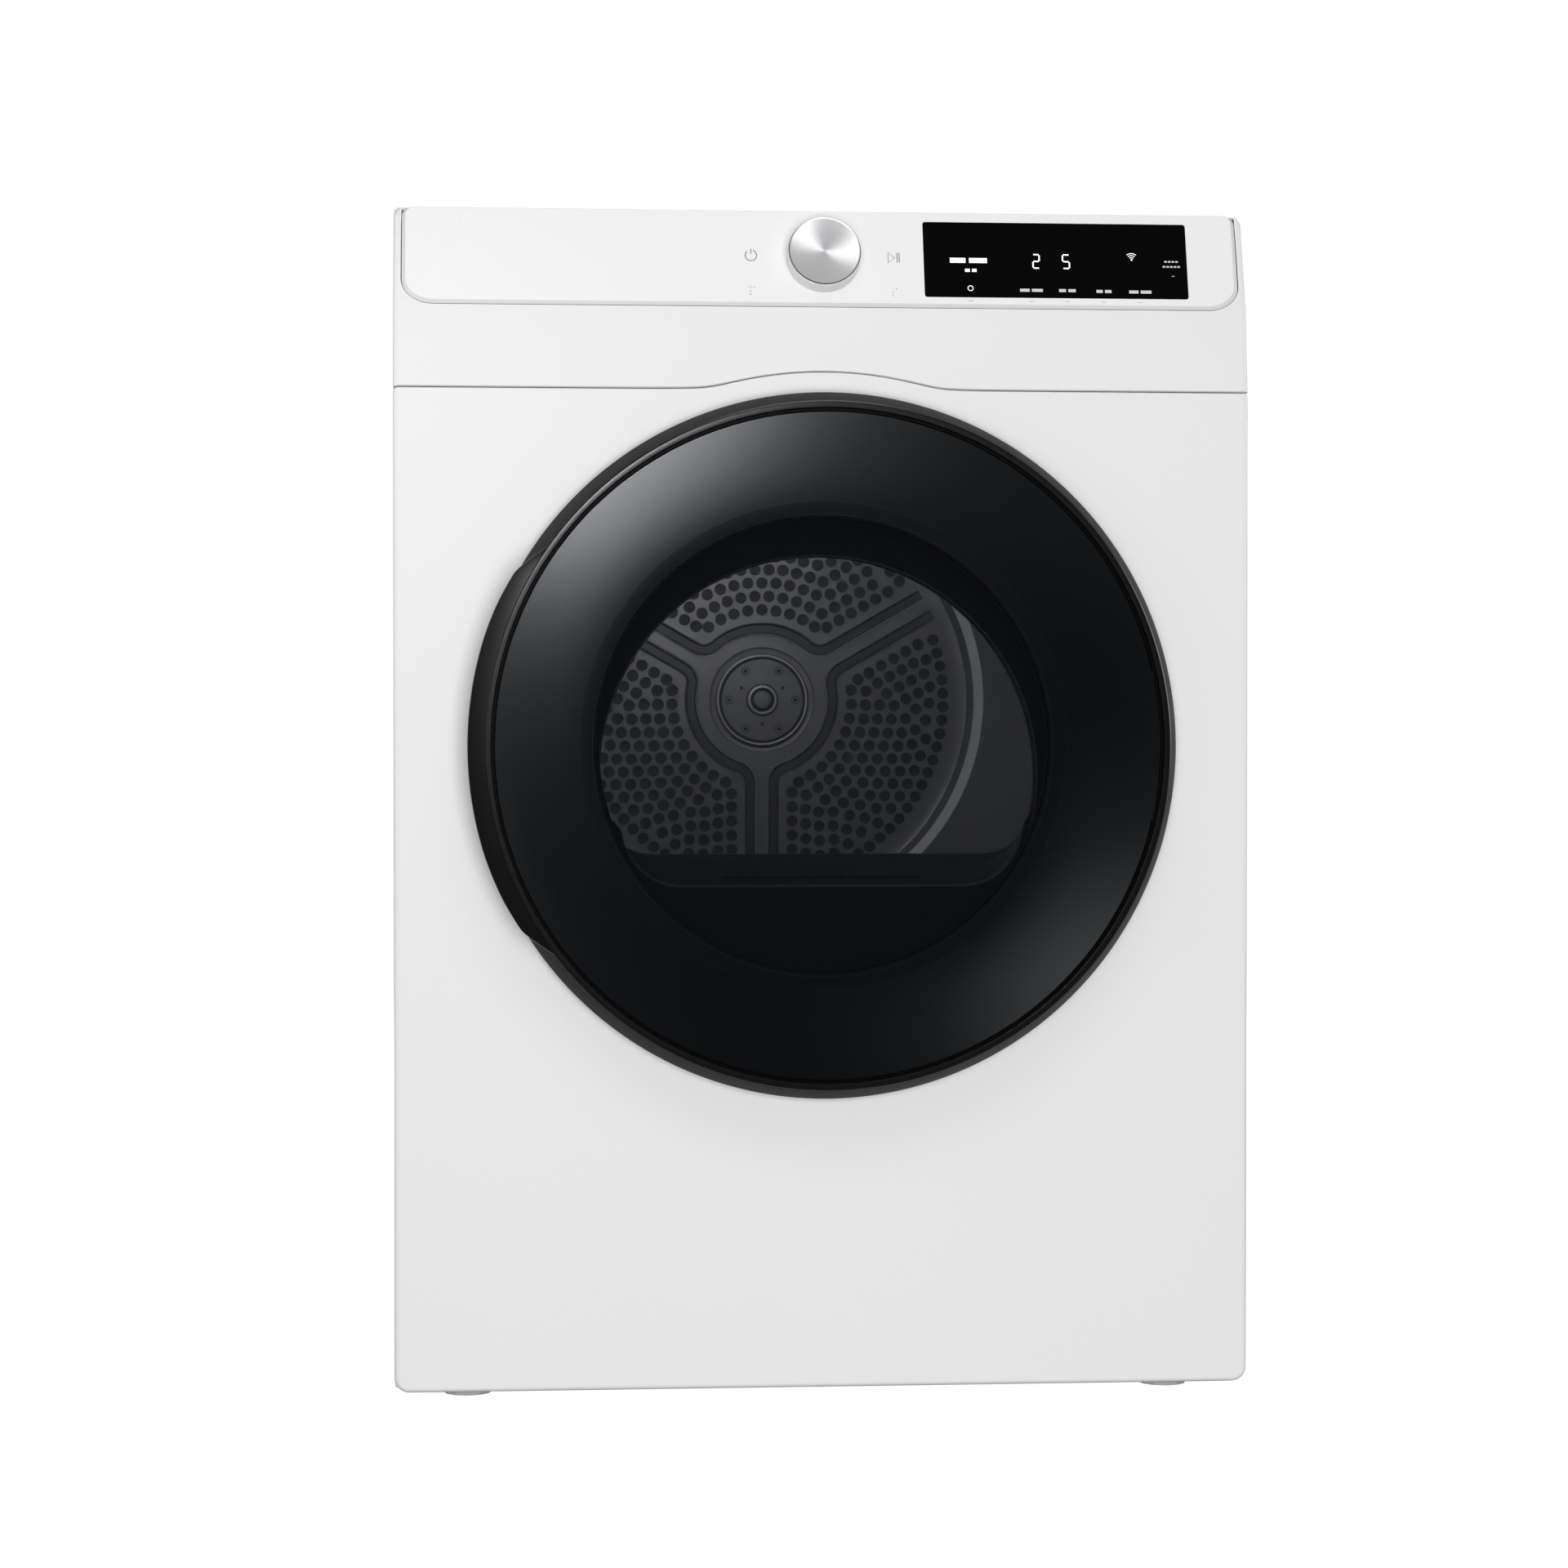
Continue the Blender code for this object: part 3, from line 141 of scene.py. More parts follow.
def spun_cap_material():
    """Aluminium turned on a lathe: fine rings, and highlights drawn out into wedges."""
    made = material("spun_aluminium", (0.86, 0.86, 0.87), 0.36, 1.0)
    tree = made.node_tree
    where, shader = tree.nodes["Texture Coordinate"], tree.nodes["Principled BSDF"]
    shader.inputs["Anisotropic"].default_value = 0.82
    tangent = add_node(tree, "Tangent")
    tangent.direction_type, tangent.axis = "RADIAL", "Z"
    rings = add_node(tree, "TexWave", Scale=900.0, Distortion=0.6, Detail=2.0)
    rings.wave_type, rings.rings_direction = "RINGS", "Z"
    rough = add_node(tree, "MapRange", To_Min=0.33, To_Max=0.39)
    wire(tree, (tangent, "Tangent", shader, "Tangent"), (where, "Object", rings, "Vector"),
         (rings, "Fac", rough, "Value"), (rough, "Result", shader, "Roughness"))
    return made


def lit(name, colour, strength):
    """A surface that glows evenly."""
    made = material(name, colour, 0.5)
    shader = made.node_tree.nodes["Principled BSDF"]
    shader.inputs["Emission Color"].default_value = (*colour, 1.0)
    shader.inputs["Emission Strength"].default_value = strength
    return made


# in order: name, colour, roughness, metallic, grain, grain size, spread, tint
ENAMEL = material("white_enamel", (0.865, 0.865, 0.87), 0.34, 0, 0.05, 900, 0.04, 0.004)
MOULDED_WHITE = material("white_moulding", (0.87, 0.87, 0.875), 0.36, 0, 0.05, 1500, 0.04, 0.004)
# painted light: the fascia's white is a little lighter than the trim's, for the light from above on the
# leaning fascia
FASCIA_LIT_WHITE = material("fascia_white_painted_light", (0.915, 0.915, 0.92), 0.28, 0, 0.03, 1500, 0.03, 0.003)
# painted shade: a darker copy of the fascia's white for its chamfer, which faces down and gets less light
SHADED_EDGE_WHITE = material("fascia_edge_painted_shade", (0.74, 0.745, 0.755), 0.36, 0, 0.03, 1500, 0.03)
# painted shade: near black laid on the white walls of the narrow gap round the fascia, where only shadow
# falls
GAP_SHADE = material("painted_gap_shade", (0.016, 0.016, 0.017), 0.6, 0, 0.03, 900)
DOOR_BLACK = material("door_black", (0.0021, 0.0024, 0.0032), 0.36, 0, 0.02, 900, 0.02)
# painted highlight: a lighter black for the thin rings at the window's edge and at the foot of the dish
# slope, standing in for light on their small bevels
DISH_LINE_HIGHLIGHT = material("door_painted_highlight_line", (0.0080, 0.0084, 0.0098), 0.40, 0, 0.02, 900)
RIM_BLACK = material("rim_black", (0.0030, 0.0030, 0.0032), 0.32, 0, 0.04, 1500, 0.03)
SIDE_BLACK = material("side_black", (0.0135, 0.0135, 0.0120), 0.48, 0, 0.05, 1500, 0.05, specular=0.06)
# painted shade: near black for the rim's inner wall down in the groove beside the dish and for the underside
# of the knob's cap, where shadow falls
GROOVE_SHADE = material("painted_groove_shade", (0.0012, 0.0012, 0.0012), 0.6, 0, 0.05, 1500, specular=0.1)
GLASS_BLACK = material("display_black", (0.0010, 0.0010, 0.0012), 0.10, spread=0.02)
GLASS = material("smoked_window", (0.0028, 0.0034, 0.0050), 0.06, alpha=0.50)
DRUM_STEEL = brushed("drum_steel", (0.30, 0.305, 0.32), 0.40, (1.0, 0.05, 1.0), 0.75)
DRUM_WALL_STEEL = material("drum_wall_steel", (0.20, 0.204, 0.222), 0.44, 0.5, 0.06, 700, 0.06, 0.05)
# painted shade: dark grey for the cups that stand in for the wall's holes, and for the grooves and screw
# recesses of the hub
HOLE_SHADE = material("painted_hole_shade", (0.046, 0.048, 0.056), 0.6, 0.3, 0.1, 700)
# painted shade: darker steel for one wall and the floor of the pressed channel, the side turned away from the
# light
CHANNEL_SHADE = material("channel_painted_shade", (0.080, 0.082, 0.094), 0.5, 0.5, 0.08, 700, 0.05)
# painted highlight: lighter steel for the channel's lit lip and for the lit edges of the hub's rings
CHANNEL_HIGHLIGHT = material("channel_painted_highlight", (0.44, 0.45, 0.48), 0.40, 0.3, 0.05, 500, 0.05)
# painted highlight: a brighter copy of the wall's steel for the step round the plate, which catches the light
STEP_HIGHLIGHT = material("step_painted_highlight", (0.66, 0.67, 0.70), 0.36, 0.25, 0.03, 500, 0.05)
HUB_METAL = material("hub_metal", (0.185, 0.188, 0.205), 0.52, 0.2, 0.06, 500, 0.06)
ZINC = material("zinc_sheet", (0.60, 0.62, 0.64), 0.42, 0.8, 0.04, 700, 0.04, 0.02)
BARE_METAL = brushed("bare_metal", (0.62, 0.63, 0.64), 0.33, (1.0, 1.0, 0.05), 1.0)
DARK_MOULDED = material("dark_moulding", (0.022, 0.023, 0.026), 0.52, 0, 0.10, 1200, 0.06, 0.05)
GREY_MOULDED = material("grey_moulding", (0.20, 0.205, 0.21), 0.5, 0, 0.10, 1200, 0.06, 0.04)
INNER_DARK = material("mouth_dark", (0.0205, 0.0225, 0.0280), 0.46, 0, 0.08, 1200, 0.05)
# painted highlight: a lighter grey for the thin lit line at the mouth's rolled lip and along the ledge's bead
BEAD_HIGHLIGHT = material("bead_painted_highlight", (0.150, 0.154, 0.170), 0.42, 0, 0.04, 1200)
# painted light: a lighter copy of the mouth's dark moulding for the ledge and the filter lid, whose upturned
# face catches light from above
LEDGE_LIT = material("ledge_painted_light", (0.066, 0.068, 0.077), 0.42, 0, 0.06, 1200, 0.05)
RUBBER = material("rubber", (0.016, 0.016, 0.016), 0.78, 0, 0.15, 900, 0, 0.1)
FELT = material("felt", (0.32, 0.31, 0.29), 0.95, 0, 0.6, 1600, 0, 0.15)
BOARD = material("circuit_board", (0.012, 0.12, 0.045), 0.45, 0, 0.15, 250, 0, 0.2)
WIRE = material("heater_wire", (0.30, 0.24, 0.20), 0.5, 1.0, 0.1, 700, 0, 0.2)
FOOT_PALE = material("foot_pale", (0.56, 0.56, 0.565), 0.6, 0, 0.10, 900, 0, 0.03)
LAMP_LENS = material("lamp_lens", (0.55, 0.56, 0.58), 0.25, 0, 0.2, 200)
KNOB_SILVER = material("knob_silver", (0.84, 0.84, 0.845), 0.36, 0.05, 0.03, 1500, 0.03)
MARK_GREY = material("mark_grey", (0.050, 0.050, 0.054), 0.5, 0, 0.02, 900)
MARK_PALE = material("mark_pale", (0.50, 0.50, 0.51), 0.5, 0, 0.02, 900)
GLYPH_WHITE = lit("glyph_white", (0.90, 0.90, 0.90), 0.95)
GLYPH_GREY = lit("glyph_grey", (0.40, 0.40, 0.40), 0.70)
CAP_METAL = spun_cap_material()


# ---- mesh building
class Shape:
    """Collects points and faces, then becomes one object that rides on a body."""

    def __init__(self):
        self.points, self.faces, self.looks, self.flat = [], [], [], set()

    def add(self, points):
        start = len(self.points)
        self.points += [Vector(p) for p in points]
        return list(range(start, start + len(points)))

    def face(self, corners, look=0):
        self.faces.append(corners)
        self.looks.append(look)

    def bridge(self, first, second, closed=True, look=0):
        count = len(first)
        for i in range(count if closed else count - 1):
            j = (i + 1) % count
            self.face([first[i], first[j], second[j], second[i]], look)

    def loft(self, loops, closed=True, look=0, around=False, capped=False):
        ids = [self.add(loop) for loop in loops]
        for a, b in zip(ids, ids[1:] + (ids[:1] if around else [])):
            self.bridge(a, b, closed, look)
        if capped:
            self.face(ids[0], look)
            self.face(ids[-1][::-1], look)
        return ids

    def fill(self, loops, world, look=0):
        """A flat outline with holes, given in two dimensions and put in place by world."""
        flat = [[Vector((a, b, 0.0)) for a, b in loop] for loop in loops]
        ids = self.add([world(a, b) for loop in loops for a, b in loop])
        for corners in tessellate_polygon(flat):
            self.flat.add(len(self.faces))
            self.face([ids[i] for i in corners], look)

    def turn(self, profile, world, steps=STEPS, closed=True, looks=None):
        """Turn a profile of (radius, height); world puts (across, up, height) in place."""
        rings = []
        angles = [2 * pi * i / steps for i in range(steps)]
        for radius, height in profile:
            spots = [(radius * cos(t), radius * sin(t)) for t in angles] if radius > 1e-7 else [(0.0, 0.0)]
            rings.append(self.add([world(a, b, height) for a, b in spots]))
        for number, (a, b) in enumerate(zip(rings, rings[1:] + (rings[:1] if closed else []))):
            look = looks[number] if looks else 0
            if len(a) == len(b) > 1:
                self.bridge(a, b, True, look)
            elif len(a) != len(b):
                tip, ring = (a[0], b) if len(a) == 1 else (b[0], a)
                for i in range(steps):
                    self.face([ring[i], ring[(i + 1) % steps], tip], look)

    def prism(self, loop, world, low, high, look=0):
        """A closed flat outline with thickness."""
        self.loft([[world(a, b, n) for a, b in loop] for n in (low, high)], look=look, capped=True)

    def block(self, low, high):
        (x0, y0, z0), (x1, y1, z1) = low, high
        self.prism([(x0, y0), (x1, y0), (x1, y1), (x0, y1)], lambda a, b, n: (a, b, n), z0, z1)

    def make(self, name, looks, body, slot, replaces=(), sharp=32.0, weld=2e-6, matrix=None,
             outwards=None):
        """The finished object: welded, shaded smooth but for flat faces and edges sharper than sharp."""
        mesh = bpy.data.meshes.new(name)
        mesh.from_pydata(self.points, [], self.faces)
        for look in looks:
            mesh.materials.append(look)
        mesh.polygons.foreach_set("material_index", self.looks)
        mesh.polygons.foreach_set("use_smooth", [i not in self.flat for i in range(len(self.faces))])
        bm = bmesh.new()
        bm.from_mesh(mesh)
        bmesh.ops.remove_doubles(bm, verts=bm.verts, dist=weld)
        bmesh.ops.recalc_face_normals(bm, faces=bm.faces)
        bm.normal_update()
        if outwards and sum(face.calc_area() * face.normal.dot(Vector(outwards)) for face in bm.faces) < 0:
            bmesh.ops.reverse_faces(bm, faces=bm.faces)
        smooth = [face.smooth for face in bm.faces]
        bm.to_mesh(mesh)
        bm.free()
        mesh.set_sharp_from_angle(angle=radians(sharp))
        mesh.polygons.foreach_set("use_smooth", smooth)
        obj = bpy.data.objects.new(name, mesh)
        bpy.context.scene.collection.objects.link(obj)
        if matrix is not None:
            obj.matrix_world = matrix
        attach(obj, body)
        if replaces:
            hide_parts(*replaces)
        return obj


def arc(centre, radius, start, end, count):
    rx, ry = radius if isinstance(radius, tuple) else (radius, radius)
    steps = [radians(start + (end - start) * i / (count - 1)) for i in range(count)]
    return [(centre[0] + rx * cos(a), centre[1] + ry * sin(a)) for a in steps]


def circle(centre, radius, count):
    return arc(centre, radius, 0, 360, count + 1)[:-1]


def rounded(points, closed=True, count=4):
    """Round the corners of an outline of (a, b) or (a, b, fillet radius)."""
    made, total = [], len(points)
    for i, point in enumerate(points):
        fillet = point[2] if len(point) > 2 else 0.0
        here = Vector(point[:2])
        if fillet <= 0 or (not closed and i in (0, total - 1)):
            made.append(tuple(here))
            continue
        before = Vector(points[i - 1][:2]) - here
        after = Vector(points[(i + 1) % total][:2]) - here
        half = before.angle(after) / 2
        reach = min(fillet / tan(half), before.length * 0.48, after.length * 0.48)
        radius = reach * tan(half)
        start, end = here + before.normalized() * reach, here + after.normalized() * reach
        centre = here + (before.normalized() + after.normalized()).normalized() * (radius / sin(half))
        a0 = atan2(start.y - centre.y, start.x - centre.x)
        a1 = atan2(end.y - centre.y, end.x - centre.x)
        sweep = (a1 - a0 + pi) % (2 * pi) - pi
        for k in range(count + 1):
            angle = a0 + sweep * k / count
            made.append((centre.x + radius * cos(angle), centre.y + radius * sin(angle)))
    return made


def corner_box(low, high, corners, count=7):
    """A rectangle whose corners (lower left, lower right, upper right, upper left) are rounded."""
    (x0, y0), (x1, y1) = low, high
    (a, b), (c, d), (e, f), (g, h) = [r if isinstance(r, tuple) else (r, r) for r in corners]
    return (arc((x0 + a, y0 + b), (a, b), 180, 270, count) + arc((x1 - c, y0 + d), (c, d), 270, 360, count)
            + arc((x1 - e, y1 - f), (e, f), 0, 90, count) + arc((x0 + g, y1 - h), (g, h), 90, 180, count))


def ahead_of(centre_z, centre_x=0.0):
    """Places (across, up, ahead) round an axis that runs front to back; ahead is towards the user."""
    return lambda a, b, ahead: (centre_x + a, FACE_Y - ahead, centre_z + b)


def front(a, b, ahead=0.0):
    return (a, FACE_Y - ahead, b)


def fascia(u, v, n=0.0):
    """A point on the leaning fascia: across, up the slope, out of the face."""
    return (u, FACE_Y + FASCIA_DEEP + v * sin(FASCIA_LEAN) - n * cos(FASCIA_LEAN),
            FASCIA_Z + v * cos(FASCIA_LEAN) + n * sin(FASCIA_LEAN))


def stacked(outline, rows, place):
    """Loops for a loft: the outline at each size, put in place at the height beside it."""
    return [[place(a, b, height) for a, b in outline(size)] for size, height in rows]


def solidify(obj, thickness):
    sheet = obj.modifiers.new("sheet", "SOLIDIFY")
    sheet.thickness = thickness
    sheet.offset = -1.0


def seam_height(x):
    rise = DOOR_Z + sqrt(max(SEAM_RADIUS ** 2 - x * x, 0.0))
    blend = 0.004
    return (rise + SEAM_Z + sqrt((rise - SEAM_Z) ** 2 + blend ** 2)) / 2


SEAM_X = [0.004 * i for i in range(40, -41, -1)]


# ---- front panel
PORT_RADIUS = 0.226
EDGE_ROUND, TOP_ROUND = 0.0052, 0.0012
LATCH_X = -0.2435


def panel_outline(side, top, bottom):
    """The front panel's edge, drawn in by these amounts."""
    low_corner, top_corner = max(0.012 - side, 0.001), max(0.0035 - side, 0.0002)
    left, right = -HALF_WIDTH + side, HALF_WIDTH - side
    base = SKIRT_Z + bottom
    ceiling = seam_height(HALF_WIDTH) - top - 0.0002
    return (arc((left + low_corner, base + low_corner), low_corner, 180, 270, 9)
            + arc((right - low_corner, base + low_corner), low_corner, 270, 360, 9)
            + arc((right - top_corner, ceiling - top_corner), top_corner, 0, 90, 5)
            + [(x, seam_height(x) - top - 0.0002) for x in SEAM_X]
            + arc((left + top_corner, ceiling - top_corner), top_corner, 90, 180, 5))


def port_outline(grow):
    return circle((0, DOOR_Z), PORT_RADIUS + grow, 128)


def folded_edge(outline, place, margins):
    """Outlines round the fillet of a folded edge, while the outline draws in by the margins."""
    loops = []
    for k in range(9):
        t = pi / 2 * k / 8
        edge = outline(*[margin * (1 - cos(t)) for margin in margins])
        loops.append([place(a, b, -EDGE_ROUND * (1 - sin(t))) for a, b in edge])
    return loops


def build_front_panel():
    shape = Shape()
    margins = (EDGE_ROUND, TOP_ROUND, 0.004)
    back = [front(a, b, -0.028) for a, b in panel_outline(0, 0, 0)]
    shape.loft([back] + folded_edge(panel_outline, front, margins))
    inner = panel_outline(EDGE_ROUND + 0.0006, TOP_ROUND + 0.0004, 0.0046)
    shape.loft([[front(a, b) for a, b in edge] for edge in (panel_outline(*margins), inner)])
    latch = corner_box((LATCH_X - 0.007, DOOR_Z - 0.013), (LATCH_X + 0.0105, DOOR_Z + 0.013), [0.002] * 4, 4)
    switch = circle((LATCH_X, DOOR_Z - 0.055), 0.005, 20)
    shape.fill([inner, port_outline(0.0012), latch, switch], front)
    flange = ((0.0012, 0), (0, 0), (-0.0006, -0.0004), (-0.0009, -0.0012), (-0.0009, -0.010))
    shape.loft(stacked(port_outline, flange, front))
    solidify(shape.make("front_panel_skin", [ENAMEL], "cabinet", "white_steel", ["front_panel"],
                        outwards=(0, -1, 0)), 0.0010)


# ---- upper trim and fascia
BREAK_Z = FASCIA_Z - 0.0004
TRIM_TOP = TOP_Z - 0.0004
FASCIA_GAP = 0.0007
MOUTH_HALF = FASCIA_HALF + FASCIA_GAP


def trim_point(x, z, n=0.0):
    """A point on the trim, which leans back a little above the joint and more behind the fascia."""
    deep = FASCIA_DEEP * max(z - SEAM_Z, 0.0) / (BREAK_Z - SEAM_Z)
    if z >= BREAK_Z:
        deep = FASCIA_DEEP + (z - BREAK_Z) * tan(FASCIA_LEAN)
    return (x, FACE_Y + deep - n, z)


def trim_path(side, top, bottom):
    """Outer edge of the trim, from its upper left end down, along the joint and up the right side."""
    x, r = HALF_WIDTH - side, max(0.009 - side, 0.002)
    ceiling = TRIM_TOP - top - r
    foot = seam_height(HALF_WIDTH) + 0.0002 + bottom
    rises = [ceiling - (ceiling - BREAK_Z) * i / 8 for i in range(1, 9)]
    falls = [BREAK_Z - (BREAK_Z - foot) * i / 6 for i in range(1, 7)]
    left = [(-a, b) for a, b in arc((x - r, ceiling), r, 55, 0, 7)] + [(-x, z) for z in rises + falls]
    seam = [(a, seam_height(a) + 0.0002 + bottom) for a in SEAM_X[::-1]]
    return left + seam + [(-a, b) for a, b in left[::-1]]


def build_trim():
    shape = Shape()
    inner = trim_path(EDGE_ROUND + 0.0004, 0.0012, TOP_ROUND + 0.0004)
    back = [(x, FACE_Y + 0.0465, z) for x, z in trim_path(0, 0, 0)]
    shape.loft([back] + folded_edge(trim_path, trim_point, (EDGE_ROUND, 0.001, TOP_ROUND))
               + [[trim_point(x, z) for x, z in inner]], closed=False)
    shape.fill([[(x, z) for x, z in inner if z <= BREAK_Z + 1e-7]], trim_point)
    upper_left = [(x, z) for x, z in inner if z >= BREAK_Z - 1e-7 and x < 0]
    mouth_left = [(-FASCIA_HALF + 0.025 - (0.025 + FASCIA_GAP) * cos(t), BREAK_Z + 0.0204 * (1 - sin(t)))
                  for t in [pi / 2 * (1 - i / 10) for i in range(11)]]
    mouth_left.append((-MOUTH_HALF, upper_left[0][1]))
    for mirror in (1, -1):
        shape.fill([[(x * mirror, z) for x, z in upper_left + mouth_left]], trim_point)
    mouth = mouth_left[::-1] + [(-x, z) for x, z in mouth_left]
    # the mouth's wall round the fascia is painted with the gap shade
    shape.loft([[trim_point(x, z, n) for x, z in mouth] for n in (0.0, -0.006)], closed=False, look=1)
    # the strip behind the fascia's upper edge, up to the top cover
    ends = (-MOUTH_HALF - 0.003, MOUTH_HALF + 0.003)
    rows = ((0.0345, 0.0020), (0.0365, 0.0005), (0.0390, 0), (0.0465, 0))
    strip = Shape()
    strip.loft([[(x, FACE_Y + deep, TRIM_TOP - drop) for x in ends] for deep, drop in rows], closed=False)
    solidify(strip.make("trim_top_strip", [MOULDED_WHITE], "cabinet", "white_plastic",
                        outwards=(0, 0, 1)), 0.0015)
    solidify(shape.make("trim_housing", [MOULDED_WHITE, GAP_SHADE], "cabinet", "white_plastic",
                        ["front_trim"], outwards=(0, -1, 0)), 0.0015)


DISPLAY_LOW, DISPLAY_HIGH = (0.0813, 0.0085), (0.2957, 0.0739)


def fascia_outline(side, top):
    lower = (0.025 - side * 0.6, 0.020 - side * 0.6)
    return corner_box((-FASCIA_HALF + side, side), (FASCIA_HALF - side, FASCIA_RISE - top),
                      [lower, lower, 0.008 - side * 0.5, 0.008 - side * 0.5], 12)


def build_fascia():
    shape = Shape()
    levels = [(0.0, 0.0, -0.0034), (0.0, 0.0, -0.0001), (0.0002, 0.0002, 0.0002), (0.0029, 0.0005, 0.0017),
              (0.0034, 0.0008, 0.0020), (0.0040, 0.0012, 0.0020)]
    ids = [shape.add([fascia(u, v, n) for u, v in fascia_outline(side, top)]) for side, top, n in levels]
    # the fascia's side wall takes the painted gap shade and its chamfer the painted edge shade
    for a, b, look in zip(ids, ids[1:], (1, 2, 2, 0, 0)):
        shape.bridge(a, b, True, look)
    slot = corner_box(DISPLAY_LOW, DISPLAY_HIGH, [0.0022] * 4, 6)
    # the fascia's face takes the white painted lighter for the light from above
    shape.fill([fascia_outline(0.0040, 0.0012), slot], lambda u, v: fascia(u, v, 0.0020))
    shape.loft([[fascia(u, v, n) for u, v in slot] for n in (0.0020, -0.0010)])
    shape.make("fascia_plate", [FASCIA_LIT_WHITE, GAP_SHADE, SHADED_EDGE_WHITE], "cabinet", "white_plastic",
               ["control_panel"])
    (u0, v0), (u1, v1) = DISPLAY_LOW, DISPLAY_HIGH
    glass = Shape()
    glass.loft(stacked(lambda inset: corner_box((u0 + inset, v0 + inset), (u1 - inset, v1 - inset),
                                                [0.0021] * 4, 6),
                       ((0.00015, -0.0008), (0.00015, 0.0019), (0.0004, 0.00215)), fascia), capped=True)
    glass.make("display_glass", [GLASS_BLACK], "cabinet", "black_gloss", ["display_window"])


# ---- marks on the fascia and what the display shows
PRINT = 0.00006                  # thickness of what is printed or lit
GLYPH_N = 0.00222                # how far the lit marks stand out of the fascia's plane


def stroke(shape, points, width, n, closed=False, look=0):
    """A thin printed line along points on the fascia."""
    pts = [Vector(p) for p in points]
    last = len(pts) - 1
    left, right = [], []
    for i, here in enumerate(pts):
        before = pts[i - 1] if (i > 0 or closed) else here
        after = pts[(i + 1) % len(pts)] if (i < last or closed) else here
        along = (after - before).normalized()
        side = Vector((-along.y, along.x)) * width / 2
        left.append(here + side)
        right.append(here - side)
    ids = [shape.add([fascia(p.x, p.y, n + up) for p in edge])
           for edge, up in ((left, 0), (left, PRINT), (right, PRINT), (right, 0))]
    for a, b in zip(ids, ids[1:] + ids[:1]):
        shape.bridge(a, b, closed, look)
    if not closed:
        shape.face([loop[0] for loop in ids], look)
        shape.face([loop[-1] for loop in ids][::-1], look)


def bar(shape, u0, u1, v0, v1):
    shape.prism([(u0, v0), (u1, v0), (u1, v1), (u0, v1)], fascia, GLYPH_N, GLYPH_N + PRINT)


def dot(shape, u, v, radius, n, height, look=0):
    shape.prism(circle((u, v), radius, 14), fascia, n, n + height, look)


SEGMENTS = {"a": (0, 2, 1, 2), "b": (1, 2, 1, 1), "c": (1, 1, 1, 0), "d": (0, 0, 1, 0),
            "e": (0, 0, 0, 1), "f": (0, 1, 0, 2), "g": (0, 1, 1, 1)}


def digit(shape, lit_segments, u, v, width, height, pen):
    """A seven-segment number with its lower left corner at (u, v)."""
    for name in lit_segments:
        x0, y0, x1, y1 = SEGMENTS[name]
        start, end = Vector((x0 * width, y0 * height / 2)), Vector((x1 * width, y1 * height / 2))
        along = (end - start).normalized() * (pen * 0.45)
        stroke(shape, [(u + p.x, v + p.y) for p in (start + along, end - along)], pen, GLYPH_N)


def caption(shape, u, v, length, height):
    """A plain pair of dashes where a word would be shown, its lower left corner at (u, v)."""
    split = u + length * 0.42
    bar(shape, u, split, v, v + height)
    bar(shape, split + height * 0.7, u + length, v, v + height)


def build_marks():
    printed = Shape()
    face = 0.00202
    stroke(printed, arc((-0.0579, 0.0430), 0.0046, 132, 428, 31), 0.00060, face)
    stroke(printed, [(-0.0579, 0.0444), (-0.0579, 0.0487)], 0.00060, face)
    stroke(printed, [(0.0527, 0.0466), (0.0527, 0.0378), (0.0578, 0.0422)], 0.00056, face, closed=True)
    for u in (0.0598, 0.0616):
        stroke(printed, [(u, 0.0380), (u, 0.0466)], 0.00058, face)
    for u, v in ((-0.0589, 0.0157), (-0.0558, 0.0155), (-0.0588, 0.0123), (-0.0586, 0.0095),
                 (0.0586, 0.0153), (0.0558, 0.0124), (0.0557, 0.0094)):
        dot(printed, u, v, 0.00062, face, 0.00015, 1)
    for u in (0.1185, 0.1677, 0.1969, 0.2262, 0.2556):
        stroke(printed, [(u - 0.0020, 0.0055), (u + 0.0020, 0.0055)], 0.00050, face, look=1)
    printed.make("fascia_marks", [MARK_GREY, MARK_PALE], "cabinet", "grey_plastic")

    shown = Shape()
    digit(shown, "abdeg", 0.1700, 0.0344, 0.0052, 0.0118, 0.00105)
    digit(shown, "acdfg", 0.1942, 0.0344, 0.0054, 0.0118, 0.00105)
    stroke(shown, circle((0.1185, 0.0164), 0.0021, 28), 0.0005, GLYPH_N, closed=True)
    for radius in (0.0023, 0.0041, 0.0059):
        stroke(shown, arc((0.2505, 0.0421), radius, 50, 130, 14), 0.0005, GLYPH_N)
    dot(shown, 0.2505, 0.0425, 0.00075, GLYPH_N, PRINT)
    caption(shown, 0.1026, 0.0384, 0.0300, 0.0042)
    caption(shown, 0.1146, 0.0306, 0.0092, 0.0026)
    shown.make("display_figures", [GLYPH_WHITE], "cabinet", "white_plastic")

    quiet = Shape()
    for u, v, length in ((0.1586, 0.0138, 0.0184), (0.1902, 0.0138, 0.0136),
                         (0.2206, 0.0134, 0.0122), (0.2472, 0.0132, 0.0182)):
        caption(quiet, u, v, length, 0.0026)
    for v, u0, count in ((0.0404, 0.2772, 4), (0.0360, 0.2757, 5)):
        for k in range(count):
            bar(quiet, u0 + 0.0030 * k, u0 + 0.0030 * k + 0.0021, v, v + 0.0014)
    bar(quiet, 0.2828, 0.2848, 0.0283, 0.0288)
    quiet.make("display_bars", [GLYPH_GREY], "cabinet", "white_plastic")


# ---- knob
def knob_frame():
    lean = Matrix.Rotation(pi / 2 - FASCIA_LEAN, 4, "X")
    return Matrix.Translation(fascia(0, KNOB_UP, 0)) @ lean


